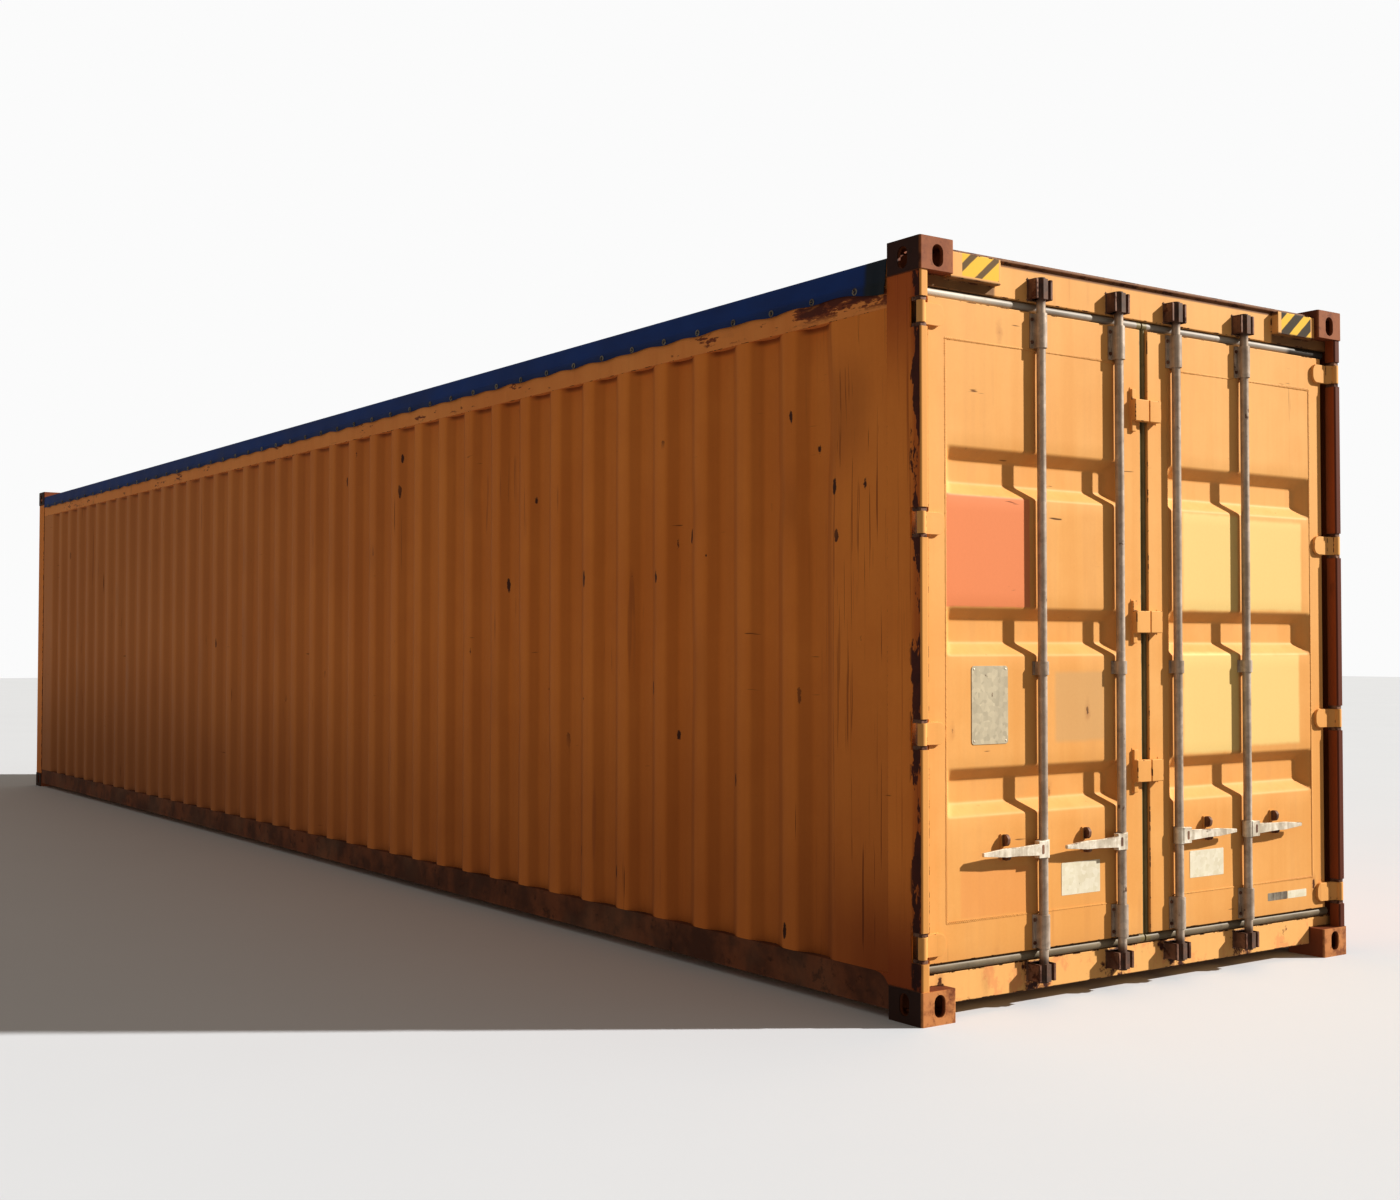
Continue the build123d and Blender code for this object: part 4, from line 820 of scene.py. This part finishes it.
for node, (material, slot, radius) in ROUNDED.items():
    softened(node, "container", material, radius)
for leaf in LEAVES:
    for part, (material, slot, radius) in LEAF_ROUNDED.items():
        softened(f"{leaf}_{part}", f"{leaf}_door", material, radius)
for bar in BARS:
    for part, (material, slot, radius) in BAR_ROUNDED.items():
        softened(f"{bar}_{part}", f"{bar}_bar", material, radius)

# Tarpaulin: one sheet drawn over the bows and rails, with a hemmed skirt on three sides

TARP_STANDOFF = 0.002
TARP_CLEARANCE = 0.004
TARP_THICKNESS = 0.0015
TARP_FACE = HALF_WIDTH - FACE_INSET + TARP_STANDOFF
TARP_END = WALL_END - TARP_CLEARANCE
FRONT_FACE = -HALF_LENGTH + FACE_INSET - TARP_STANDOFF
FLAP_HALF = BODY_SIDE - TARP_CLEARANCE
TARP_DROP = 0.102
HEM = 0.026
EYELET_PITCH = 0.25
EYELET_DROP = TARP_DROP - 0.014
EYELET_STANDOFF = 0.001
FLAP_SHIFT = 20.0
FLAP_SEED = 7
CLOTH_LIFT = 0.0025
BOW_CROWN = 0.020
BOW_REACH = 1.14
SAG = 0.017


def skirt(along, drop, seed):
    """How far a skirt stands out and how far it is drawn up, this far along and below the rail's top."""
    low = drop / TARP_DROP
    phase = 2 * math.pi * along / EYELET_PITCH
    loose = noise.noise(Vector((along * 2.1, seed, 0.0)))
    end = smooth(TARP_END - 0.22, TARP_END - 0.02, along)
    out = low * (0.0022 + 0.0022 * math.cos(phase) + 0.003 * loose + 0.0022)
    out += end * low * (0.005 + 0.005 * math.sin(along * 95.0))
    up = low ** 3 * (0.004 - 0.004 * math.cos(phase) + 0.006 * noise.noise(Vector((along * 4.3, 5.0, seed))))
    up -= low ** 2 * end * 0.030
    if drop > TARP_DROP - HEM:
        out += 0.0016
    return out, up


def front_skirt(across, drop):
    """The same at the front end, from a stretch of the wave that is far from the doors."""
    return skirt(across - FLAP_SHIFT, drop, FLAP_SEED)


def roof_level(along, across):
    """Level of the cloth over the bows, where it sags between them and stays up on the rails."""
    bay = (along + WALL_END) / BOW_SPACING
    between = math.sin(math.pi * bay) ** 2
    inside = 1 - min(abs(across) / BOW_REACH, 1.0) ** 4
    slack = 0.75 + 0.5 * noise.noise(Vector((math.floor(bay) * 1.7, 3.0, 1.0)))
    ripple = 0.004 * noise.noise(Vector((along * 4.5, across * 2.0, 2.0)))
    return (RAIL_TOP + CLOTH_LIFT + BOW_CROWN * (1 - (across / TARP_FACE) ** 2)
            - between * inside * (SAG * slack - ripple))


def tarp_point(along, station):
    """A point of the cloth. station is a part and a place: a skirt's drop, or the roof's place across."""
    part, place = station
    if part == "roof":
        return along, place, roof_level(along, place)
    side = -1 if part == "left" else 1
    out, up = skirt(along, place, side)
    return along, side * (TARP_FACE + out), RAIL_TOP - place + up


DROPS = [TARP_DROP, TARP_DROP - 0.008, TARP_DROP - 0.016, TARP_DROP - HEM + 0.001, TARP_DROP - HEM - 0.001,
         TARP_DROP - 0.036, 0.04, 0.026, 0.014, 0.006]
ACROSS = [-TARP_FACE + e for e in (0.0035, 0.012, 0.03)] + spread(-1.16, -FLAP_HALF, 0.04)[:-1]
ACROSS += spread(-FLAP_HALF, FLAP_HALF, 0.075)
ACROSS += [-a for a in reversed(ACROSS[:ACROSS.index(-FLAP_HALF)])]
STATIONS = [("left", drop) for drop in DROPS] + [("roof", across) for across in ACROSS]
STATIONS += [("right", drop) for drop in reversed(DROPS)]
ALONG = spread(-TARP_END, TARP_END, 0.0205)


def draped_sheet():
    """The cloth: rows across the roof and both skirts, then the flap that hangs over the front end."""
    cloth = bmesh.new()
    rows = [[cloth.verts.new(tarp_point(x, station)) for station in STATIONS] for x in ALONG]
    flap = [i for i, (part, place) in enumerate(STATIONS)
            if part == "roof" and abs(place) <= FLAP_HALF + 1e-6]
    brow = [(STATIONS[i][1], roof_level(-TARP_END, STATIONS[i][1])) for i in flap]
    front_rows = [[cloth.verts.new((x, y, z)) for y, z in brow]
                  for x in spread(-TARP_END, FRONT_FACE + 0.012, 0.03)[1:]]
    front_rows.append([cloth.verts.new((FRONT_FACE + 0.003, y, z - 0.003)) for y, z in brow])
    for drop in reversed(DROPS):
        line = []
        for y, _ in brow:
            out, up = front_skirt(y, drop)
            line.append(cloth.verts.new((FRONT_FACE - out, y, RAIL_TOP - drop + up)))
        front_rows.append(line)
    for first, second in zip(rows, rows[1:]):
        for j in range(len(STATIONS) - 1):
            cloth.faces.new((first[j], first[j + 1], second[j + 1], second[j]))
    edge_row = [rows[0][i] for i in flap]
    for first, second in zip([edge_row] + front_rows, front_rows):
        for j in range(len(flap) - 1):
            cloth.faces.new((first[j], second[j], second[j + 1], first[j + 1]))
    bmesh.ops.recalc_face_normals(cloth, faces=cloth.faces)
    return cloth


tarp_mesh = thickened(draped_sheet(), "tarpaulin_cloth", TARP_THICKNESS, Vector((0, 0, 1)), 60.0)
tarpaulin = add_piece("tarpaulin_cloth", tarp_mesh, "container", TARP, ("tarpaulin",))


# Hardware that repeats, grown by geometry nodes on points with the way that each faces

class Bench:
    """A geometry-node tree under construction."""

    def __init__(self, name, sizes):
        self.tree = bpy.data.node_groups.new(name, "GeometryNodeTree")
        sockets = self.tree.interface
        sockets.new_socket("Places", in_out="INPUT", socket_type="NodeSocketGeometry")
        self.keys = {}
        for label, value in sizes.items():
            made = sockets.new_socket(label, in_out="INPUT", socket_type="NodeSocketFloat")
            made.default_value = value
            self.keys[label] = made.identifier
        sockets.new_socket("Pieces", in_out="OUTPUT", socket_type="NodeSocketGeometry")
        self.start = self.tree.nodes.new("NodeGroupInput")

    def size(self, label):
        return self.start.outputs[label]

    def node(self, kind, settings=None, sockets=None, out=0):
        made = self.tree.nodes.new(kind)
        for key, value in (settings or {}).items():
            setattr(made, key, value)
        for key, value in (sockets or {}).items():
            if isinstance(value, bpy.types.NodeSocket):
                self.tree.links.new(value, made.inputs[key])
            else:
                made.inputs[key].default_value = value
        return made.outputs[out]

    def sum(self, operation, first, second):
        return self.node("ShaderNodeMath", {"operation": operation}, {0: first, 1: second})

    def join(self, *shapes):
        made = self.tree.nodes.new("GeometryNodeJoinGeometry")
        for shape in shapes:
            self.tree.links.new(shape, made.inputs[0])
        return made.outputs[0]

    def lift(self, shape, height):
        shift = self.node("ShaderNodeCombineXYZ", None, {2: height})
        return self.node("GeometryNodeTransform", None, {"Geometry": shape, "Translation": shift})

    def set_out(self, shape, material):
        """Places the shape on every point, facing its way and turned at random about it."""
        facing = self.node("GeometryNodeInputNamedAttribute", {"data_type": "FLOAT_VECTOR"},
                           {"Name": "facing"})
        aligned = self.node("FunctionNodeAlignRotationToVector", {"axis": "Z"}, {"Vector": facing})
        turn = self.node("FunctionNodeRandomValue", {"data_type": "FLOAT"}, {2: 0.0, 3: 6.2832, "Seed": 5}, 1)
        spin = self.node("FunctionNodeAxisAngleToRotation", None, {"Axis": (0, 0, 1), "Angle": turn})
        turned = self.node("FunctionNodeRotateRotation", {"rotation_space": "LOCAL"},
                           {"Rotation": aligned, "Rotate By": spin})
        placed = self.node("GeometryNodeInstanceOnPoints", None,
                           {"Points": self.start.outputs["Places"], "Instance": shape, "Rotation": turned})
        self.finish(placed, material)

    def finish(self, shape, material):
        real = self.node("GeometryNodeRealizeInstances", None, {"Geometry": shape})
        painted = self.node("GeometryNodeSetMaterial", None, {"Geometry": real, "Material": material})
        end = self.tree.nodes.new("NodeGroupOutput")
        self.tree.links.new(painted, end.inputs[0])


def grown(name, bench, mesh, body, sizes=None, sharp=35.0):
    """Runs a tree on a mesh of places and links what it makes as a piece."""
    piece = bpy.data.objects.new(name, mesh)
    bpy.context.scene.collection.objects.link(piece)
    modifier = piece.modifiers.new("hardware", "NODES")
    modifier.node_group = bench.tree
    for label, value in (sizes or {}).items():
        modifier[bench.keys[label]] = value
    made = evaluated(piece, name)
    made.shade_smooth()
    made.set_sharp_from_angle(angle=math.radians(sharp))
    return add_piece(name, made, body, None)


def places_mesh(name, places):
    """A mesh of bare points, each with the way that it faces."""
    mesh = bpy.data.meshes.new(name)
    mesh.from_pydata([place for place, _ in places], [], [])
    facing = mesh.attributes.new("facing", "FLOAT_VECTOR", "POINT")
    facing.data.foreach_set("vector", [c for _, way in places for c in way])
    return mesh


def bolt_bench(material):
    """A hexagon head on a washer."""
    bench = Bench("bolt", {"Head Radius": 0.0085, "Head Height": 0.006,
                           "Washer Radius": 0.011, "Washer Height": 0.0016})
    discs = [bench.node("GeometryNodeMeshCylinder", None,
                        {"Vertices": sides, "Radius": bench.size(f"{label} Radius"),
                         "Depth": bench.size(f"{label} Height")})
             for label, sides in (("Washer", 14), ("Head", 6))]
    half = bench.sum("MULTIPLY", bench.size("Head Height"), 0.5)
    bench.set_out(bench.join(discs[0], bench.lift(discs[1], half)), material)
    return bench


def rivet_bench(material):
    """A flattened dome."""
    bench = Bench("rivet", {"Radius": 0.005, "Flatness": 0.5})
    dome = bench.node("GeometryNodeMeshUVSphere", None,
                      {"Segments": 10, "Rings": 6, "Radius": bench.size("Radius")})
    squeeze = bench.node("ShaderNodeCombineXYZ", None, {0: 1.0, 1: 1.0, 2: bench.size("Flatness")})
    bench.set_out(bench.node("GeometryNodeTransform", None, {"Geometry": dome, "Scale": squeeze}), material)
    return bench


def eyelet_bench(material):
    """A steel ring with the staple of the rail standing through it."""
    bench = Bench("eyelet", {"Ring Radius": 0.011, "Ring Wire": 0.0032,
                             "Staple Radius": 0.005, "Staple Wire": 0.0022})
    parts = []
    for label, tilt in (("Ring", 0.0), ("Staple", math.pi / 2)):
        line, wire = (bench.node("GeometryNodeCurvePrimitiveCircle", None,
                                 {"Resolution": steps, "Radius": bench.size(f"{label} {size}")})
                      for size, steps in (("Radius", 12), ("Wire", 5)))
        ring = bench.node("GeometryNodeCurveToMesh", None, {"Curve": line, "Profile Curve": wire})
        parts.append(bench.node("GeometryNodeTransform", None,
                                {"Geometry": ring, "Rotation": (tilt, 0.0, 0.0)}))
    bench.set_out(bench.join(*parts), material)
    return bench


def weld_bench(material):
    """A bead of overlapping ripples along a path."""
    bench = Bench("weld", {"Step": 0.007, "Width": 0.005, "Height": 0.0032})
    curve = bench.node("GeometryNodeMeshToCurve", None, {"Mesh": bench.start.outputs["Places"]})
    made = bench.tree.nodes.new("GeometryNodeCurveToPoints")
    made.mode = "LENGTH"
    bench.tree.links.new(curve, made.inputs["Curve"])
    bench.tree.links.new(bench.size("Step"), made.inputs["Length"])
    ripple = bench.node("GeometryNodeMeshIcoSphere", None, {"Radius": 1.0, "Subdivisions": 1})
    vary = bench.node("FunctionNodeRandomValue", {"data_type": "FLOAT"}, {2: 0.8, 3: 1.2, "Seed": 9}, 1)
    width = bench.sum("MULTIPLY", bench.size("Width"), vary)
    height = bench.sum("MULTIPLY", bench.size("Height"), vary)
    stretch = bench.node("ShaderNodeCombineXYZ", None, {0: width, 1: height, 2: bench.size("Step")})
    placed = bench.node("GeometryNodeInstanceOnPoints", None,
                        {"Points": made.outputs["Points"], "Instance": ripple,
                         "Rotation": made.outputs["Rotation"], "Scale": stretch})
    bench.finish(placed, material)
    return bench


def paths_mesh(name, paths):
    """A mesh of open paths, each a list of points."""
    points, edges = [], []
    for path in paths:
        edges += [(len(points) + i, len(points) + i + 1) for i in range(len(path) - 1)]
        points += path
    mesh = bpy.data.meshes.new(name)
    mesh.from_pydata(points, edges, [])
    return mesh


OUT = (1.0, 0.0, 0.0)
UP = (0.0, 0.0, 1.0)
BOLTS = bolt_bench(FORGED)
RIVETS = rivet_bench(GALVANISED)
EYELETS = eyelet_bench(DULL_STEEL)
DOOR_WELD = weld_bench(DOOR_PAINT)
POST_WELD = weld_bench(UNDER_PAINT)
SCREWS = rivet_bench(FORGED)

eyelets = []
count = int(2 * (TARP_END - 0.1) / EYELET_PITCH)
for part, side in LEAVES.items():
    for i in range(count + 1):
        x, y, z = tarp_point((i - count / 2) * EYELET_PITCH, (part, EYELET_DROP))
        eyelets.append(((x, y + side * EYELET_STANDOFF, z), (0.0, float(side), 0.0)))
for i in range(-4, 5):
    out, up = front_skirt(i * EYELET_PITCH, EYELET_DROP)
    place = (FRONT_FACE - out - EYELET_STANDOFF, i * EYELET_PITCH, RAIL_TOP - EYELET_DROP + up)
    eyelets.append((place, (-1.0, 0.0, 0.0)))
rings = grown("tarpaulin_eyelets", EYELETS, places_mesh("eyelet_places", eyelets), "container")

# Bolts of the bearings, and weld beads round the panels, hinge blades and rack blocks

BOLT_ACROSS = 0.0305
BOLT_UP = 0.042
HINGE_ROOT = 0.083
HINGE_TAPER = 0.032
HINGE_TIP = 0.012

for leaf, side in LEAVES.items():
    door = f"{leaf}_door"
    bolts = [((behind(BEARING_FACE), y + dy, level + dz), OUT)
             for y in BARS.values() if y * side > 0 for level in BEARING_LEVELS
             for dy in (-BOLT_ACROSS, BOLT_ACROSS) for dz in (-BOLT_UP, BOLT_UP)]
    grown(f"{leaf}_bearing_bolts", BOLTS, places_mesh("bolt_places", bolts), door,
          {"Head Radius": 0.0062, "Head Height": 0.005, "Washer Radius": 0.0072})
    corners = ((PANEL_INNER, PANEL_LOW), (PANEL_OUTER, PANEL_LOW), (PANEL_OUTER, PANEL_HIGH),
               (PANEL_INNER, PANEL_HIGH), (PANEL_INNER, PANEL_LOW))
    panel_edge = [(behind(PANEL_FACE - 0.0004), side * y, z) for y, z in corners]
    grown(f"{leaf}_panel_weld", DOOR_WELD, paths_mesh("panel_weld", [panel_edge]), door,
          {"Width": 0.0026, "Height": 0.0035, "Step": 0.009})
    face = behind(DOOR_FACE)
    beads = []
    for level in HINGE_LEVELS:
        for z in (level - HINGE_HALF, level + HINGE_HALF):
            blade = (HINGE_ROOT, HINGE_REACH - HINGE_TAPER)
            beads.append([(face, side * beside(inset), z) for inset in blade])
        beads.append([(face, side * beside(HINGE_REACH), level + dz) for dz in (-HINGE_TIP, HINGE_TIP)])
    for level in RACK_LEVELS:
        ends = (level - RACK_HALF[leaf], level + RACK_HALF[leaf])
        beads.append([(face, side * RACK_EDGE[leaf], z) for z in ends])
    grown(f"{leaf}_hinge_welds", DOOR_WELD, paths_mesh("hinge_beads", beads), door,
          {"Width": 0.0034, "Height": 0.0034, "Step": 0.0075})

# Weld beads on the posts, the wall ends, the header, the sill and the keepers

BEAD_GAP = 0.0005
POST_BEAD_INSET = 0.0042
POST_BEAD_ENDS = (0.176, 0.016)
WALL_BEAD_INSET = 0.0085
KEEPER_HALF = 0.0445
# Setback and two levels, on the header and then on the sill
BLOCK_BEADS = ((0.0535, 2.628, 2.706), (0.0695, 0.055, 0.116))
KEEPER_BEADS = ((0.052, 2.590, 2.666), (0.070, 0.087, 0.151))

beads = []
for side in (-1, 1):
    for end in (-1, 1):
        for z in (CASTING_HEIGHT + BEAD_GAP, HEIGHT - CASTING_HEIGHT - BEAD_GAP):
            beads.append([(end * behind(setback), side * beside(POST_BEAD_INSET), z)
                          for setback in POST_BEAD_ENDS])
        beads.append([(end * behind(CASTING_LENGTH + BEAD_GAP), side * beside(WALL_BEAD_INSET), z)
                      for z in (BASE_TOP - 0.008, RAIL_TOP - 0.004)])
    for setback, low, high in BLOCK_BEADS:
        beads.append([(behind(setback), side * (BODY_SIDE - BEAD_GAP), z) for z in (low, high)])
grown("post_welds", POST_WELD, paths_mesh("post_beads", beads), "container",
      {"Width": 0.0034, "Height": 0.0034, "Step": 0.0085})
beads = []
for y in BARS.values():
    for setback, low, high in KEEPER_BEADS:
        outline = ((-KEEPER_HALF, low), (-KEEPER_HALF, high), (KEEPER_HALF, high), (KEEPER_HALF, low))
        corners = [(behind(setback), y + across, z) for across, z in outline]
        beads += [list(pair) for pair in zip(corners, corners[1:] + corners[:1])]
grown("keeper_welds", weld_bench(FORGED), paths_mesh("keeper_beads", beads), "container",
      {"Width": 0.0036, "Height": 0.0036, "Step": 0.0075})


# Pads in the hinge notches, the bulbs of the seals, the handle catches and the floor's screws

def slab(work, outline, low, high, place):
    """Adds a closed slab between two heights, place(point, height) giving each corner."""
    below = [work.verts.new(place(point, low)) for point in outline]
    above = [work.verts.new(place(point, high)) for point in outline]
    made = [work.faces.new(below), work.faces.new(above[::-1])]
    for i in range(len(outline)):
        j = (i + 1) % len(outline)
        made.append(work.faces.new((below[i], above[i], above[j], below[j])))
    return made


def rounded_loop(points, reach):
    """A closed outline with rounded corners."""
    return [tuple(p) for p in rounded_line([points[-1]] + points + [points[0]], reach)[1:-1]]


def facing_out(work):
    bmesh.ops.recalc_face_normals(work, faces=work.faces)
    return work


PAD = rounded_loop([(0.009, 0.007), (0.009, 0.042), (0.056, 0.042), (0.056, 0.007)], 0.009)
PAD_NEAR = 0.0397
PAD_FAR = 0.0525
work = bmesh.new()
for side in (-1, 1):
    for level in HINGE_LEVELS:
        for low, high in ((-PAD_FAR, -PAD_NEAR), (PAD_NEAR, PAD_FAR)):
            slab(work, PAD, level + low, level + high,
                 lambda point, height, side=side: (behind(point[0]), side * beside(point[1]), height))
add_piece("hinge_pads", finished(facing_out(work), "hinge_pads"), "container", FORGED)

SEAL_BACK = 0.0735
# Two places and the depth of each bulb, and how far it runs
SEAM_BULB = (0.0034, 0.0210, 0.0145)
SEAM_RUN = (0.199, 2.548)
END_BULBS = ((0.1630, 0.1985, 0.0170), (2.5475, 2.5810, 0.0170))
END_RUN = (0.004, 1.168)


def bulb(low, high, depth):
    """Half-round section of the seal's bulb, as (setback, place), between two places."""
    middle, half = (low + high) / 2, (high - low) / 2
    turns = [math.pi * k / 10 for k in range(11)]
    return [(SEAL_BACK - depth * math.sin(turn), middle - half * math.cos(turn)) for turn in turns]


CATCH_REACH = 0.0168
CATCH_HIGH = HANDLE_LEVEL + CATCH_REACH
CATCH_LOW = HANDLE_LEVEL - CATCH_REACH
CATCH_FRONT = 0.0458
CATCH_ROOT = 0.0462
CATCH_PLATE = [(PANEL_FACE, CATCH_HIGH + CATCH_TAB), (CATCH_FRONT, CATCH_HIGH + CATCH_TAB),
               (CATCH_FRONT, CATCH_LOW - CATCH_NOSE), (PANEL_FACE, CATCH_LOW - CATCH_NOSE)]
CATCH_HOOK = rounded_loop([(CATCH_ROOT, CATCH_HIGH + 0.045), (CATCH_ROOT, CATCH_HIGH + 0.003),
                           (0.030, CATCH_HIGH + 0.003), (0.020, CATCH_HIGH + 0.012),
                           (0.017, CATCH_HIGH + 0.032), (0.028, CATCH_HIGH + 0.0455)], 0.006)
CATCH_SHELF = rounded_loop([(CATCH_ROOT, CATCH_LOW), (CATCH_ROOT, CATCH_LOW - CATCH_NOSE),
                            (0.024, CATCH_LOW - CATCH_NOSE), (0.0155, CATCH_LOW - 0.007),
                            (0.0155, CATCH_LOW)], 0.003)
CATCH_SLABS = ((CATCH_PLATE, 0.013, 1), (CATCH_HOOK, 0.0065, 0), (CATCH_SHELF, 0.0065, 0))
for leaf, side in LEAVES.items():
    work = bmesh.new()
    slab(work, bulb(*SEAM_BULB), *SEAM_RUN,
         lambda point, height, side=side: (behind(point[0]), side * point[1], height))
    for section in END_BULBS:
        slab(work, bulb(*section), *END_RUN,
             lambda point, across, side=side: (behind(point[0]), side * across, point[1]))
    name = f"{leaf}_seal_bulb"
    add_piece(name, finished(facing_out(work), name), f"{leaf}_door", RUBBER)
    work = bmesh.new()
    for bar in (OUTER_BAR, INNER_BAR):
        middle = side * (bar + CATCH_OFFSET)
        for outline, half, finish in CATCH_SLABS:
            for made in slab(work, outline, middle - half, middle + half,
                             lambda point, across: (behind(point[0]), across, point[1])):
                made.material_index = finish
    mesh = finished(facing_out(work), f"{leaf}_catch_hooks")
    mesh.materials.append(FORGED)
    mesh.materials.append(DOOR_PAINT)
    add_piece(f"{leaf}_catch_hooks", mesh, f"{leaf}_door", None, (f"{leaf}_handle_catches",))

SCREW_ROWS = 38
SCREWS_ACROSS = 10
SCREW_START = -5.66
SCREW_PITCH = 0.305
SCREW_SPAN = 2.2
screws = []
for i in range(SCREW_ROWS):
    for j in range(SCREWS_ACROSS):
        across = -SCREW_SPAN / 2 + SCREW_SPAN * j / (SCREWS_ACROSS - 1)
        screws.append(((SCREW_START + i * SCREW_PITCH, across, FLOOR_TOP), UP))
grown("floor_screws", SCREWS, places_mesh("screw_places", screws), "container",
      {"Radius": 0.007, "Flatness": 0.12})

# Plates and labels, all bare

PLATE_ROOT = 0.0005


def rounded_plate(name, body, setback, low, high, thickness, corner, material, edge=0.0005):
    """A thin plate with rounded corners on a face this far set back, between two (across, level) corners."""
    work = bmesh.new()
    outline = []
    for y, z, start in ((high[0] - corner, high[1] - corner, 0), (low[0] + corner, high[1] - corner, 90),
                        (low[0] + corner, low[1] + corner, 180), (high[0] - corner, low[1] + corner, 270)):
        for k in range(6):
            angle = math.radians(start + 18 * k)
            outline.append(work.verts.new((behind(setback) - PLATE_ROOT, y + corner * math.cos(angle),
                                           z + corner * math.sin(angle))))
    raised = bmesh.ops.extrude_face_region(work, geom=[work.faces.new(outline)])
    bmesh.ops.translate(work, verts=[v for v in raised["geom"] if isinstance(v, bmesh.types.BMVert)],
                        vec=(thickness + PLATE_ROOT, 0, 0))
    bmesh.ops.recalc_face_normals(work, faces=work.faces)
    rim = [e for e in work.edges if e.calc_face_angle(0.0) > 1.0]
    bmesh.ops.bevel(work, geom=rim, offset=edge, segments=1, affect="EDGES", clamp_overlap=True)
    return add_piece(name, finished(work, name), body, material)


DATA_PLATE = 0.0012
HUB_FACE = 0.003
HUB_OFFSET = 0.026
HUB_SLOT_HALF = (0.006, 0.017)
rounded_plate("data_plate", "left_door", PANEL_FACE, (-0.931, 0.958), (-0.749, 1.240),
              thickness=DATA_PLATE, corner=0.012, material=PLATE)
for name, leaf, setback, low, high, finish in (
        ("left_label", "left", PANEL_FACE, (-0.473, 0.384), (-0.264, 0.505), LABEL),
        ("right_label", "right", PANEL_FACE, (0.259, 0.392), (0.467, 0.499), LABEL),
        ("small_label_dark_half", "right", DOOR_FACE, (0.750, 0.258), (0.880, 0.290), DULL_STEEL),
        ("small_label_pale_half", "right", DOOR_FACE, (0.882, 0.258), (1.010, 0.290), LABEL)):
    rounded_plate(name, f"{leaf}_door", setback, low, high,
                  thickness=0.0004, corner=0.004, material=finish, edge=0.0001)
for bar, y in BARS.items():
    middle = y + math.copysign(HUB_OFFSET, y)
    wide, tall = HUB_SLOT_HALF
    rounded_plate(f"{bar}_hub_slot", f"{bar}_bar", HUB_FACE, (middle - wide, HANDLE_LEVEL - tall),
                  (middle + wide, HANDLE_LEVEL + tall),
                  thickness=0.0006, corner=0.005, material=FORGED, edge=0.0002)
plate_rivets = [((behind(PANEL_FACE) + DATA_PLATE, y, z), OUT)
                for y in (-0.919, -0.761) for z in (0.970, 1.228)]
grown("data_plate_rivets", RIVETS, places_mesh("plate_rivet_places", plate_rivets), "left_door",
      {"Radius": 0.004})

# Floor, light and camera

FLOOR_REACH = 60.0
floor_mesh = bpy.data.meshes.new("studio_floor")
floor_mesh.from_pydata([(-FLOOR_REACH, -FLOOR_REACH, 0), (FLOOR_REACH, -FLOOR_REACH, 0),
                        (FLOOR_REACH, FLOOR_REACH, 0), (-FLOOR_REACH, FLOOR_REACH, 0)], [], [(0, 1, 2, 3)])
studio_floor = bpy.data.objects.new("studio_floor", floor_mesh)
bpy.context.scene.collection.objects.link(studio_floor)
floor_material, floor_at = start_finish("studio_floor_finish")
floor_colour = floor_at.noise(0.6, 3).blend(rgb(0.605, 0.650, 0.735), rgb(0.635, 0.680, 0.765))
end_finish(floor_at, floor_colour, 0.8)
floor_mesh.materials.append(floor_material)
studio_floor.visible_diffuse = False

world = bpy.data.worlds.new("studio")
world.use_nodes = True
sky = Tap(world.node_tree, None)
backdrop = sky.node("Background", None, {"Color": rgb(1.0, 1.0, 1.0), "Strength": 0.97})
fill = sky.node("Background", None, {"Color": rgb(1.0, 0.88, 0.72), "Strength": 0.36})
seen = sky.node("LightPath")
mixed = sky.node("MixShader", None, {0: seen, 1: fill, 2: backdrop})
world.node_tree.links.new(mixed.socket, world.node_tree.nodes["World Output"].inputs["Surface"])
bpy.context.scene.world = world

SUN_FROM = Vector((1.0, 1.52, 1.05))
sun_data = bpy.data.lights.new("key_light", "SUN")
sun_data.energy = 6.2
sun_data.angle = math.radians(1.5)
sun_data.color = (1.0, 0.95, 0.86)
sun = bpy.data.objects.new("key_light", sun_data)
sun.rotation_mode = "QUATERNION"
sun.rotation_quaternion = SUN_FROM.to_track_quat("Z", "Y")
bpy.context.scene.collection.objects.link(sun)

# The camera is fitted to the corners of the container in the photograph.
CAMERA_AT = Vector((10.39809, -5.16293, 1.31223))
CAMERA_AIM = Vector((-0.81880, 0.57343, 0.02718))
CAMERA_RIGHT = Vector((0.57366, 0.81909, 0.00070))
camera_data = bpy.data.cameras.new("camera")
camera_data.lens = 43.108
camera_data.sensor_width = 36.0
camera_data.sensor_fit = "HORIZONTAL"
camera_data.clip_end = 500.0
camera = bpy.data.objects.new("camera", camera_data)
aim = CAMERA_AIM.normalized()
right = (CAMERA_RIGHT - CAMERA_RIGHT.dot(aim) * aim).normalized()
up = right.cross(aim)
camera.matrix_world = Matrix((
    (right.x, up.x, -aim.x, CAMERA_AT.x),
    (right.y, up.y, -aim.y, CAMERA_AT.y),
    (right.z, up.z, -aim.z, CAMERA_AT.z),
    (0, 0, 0, 1),
))
bpy.context.scene.collection.objects.link(camera)
bpy.context.scene.camera = camera
bpy.context.scene.view_settings.view_transform = "Standard"
bpy.context.scene.view_settings.gamma = 0.86
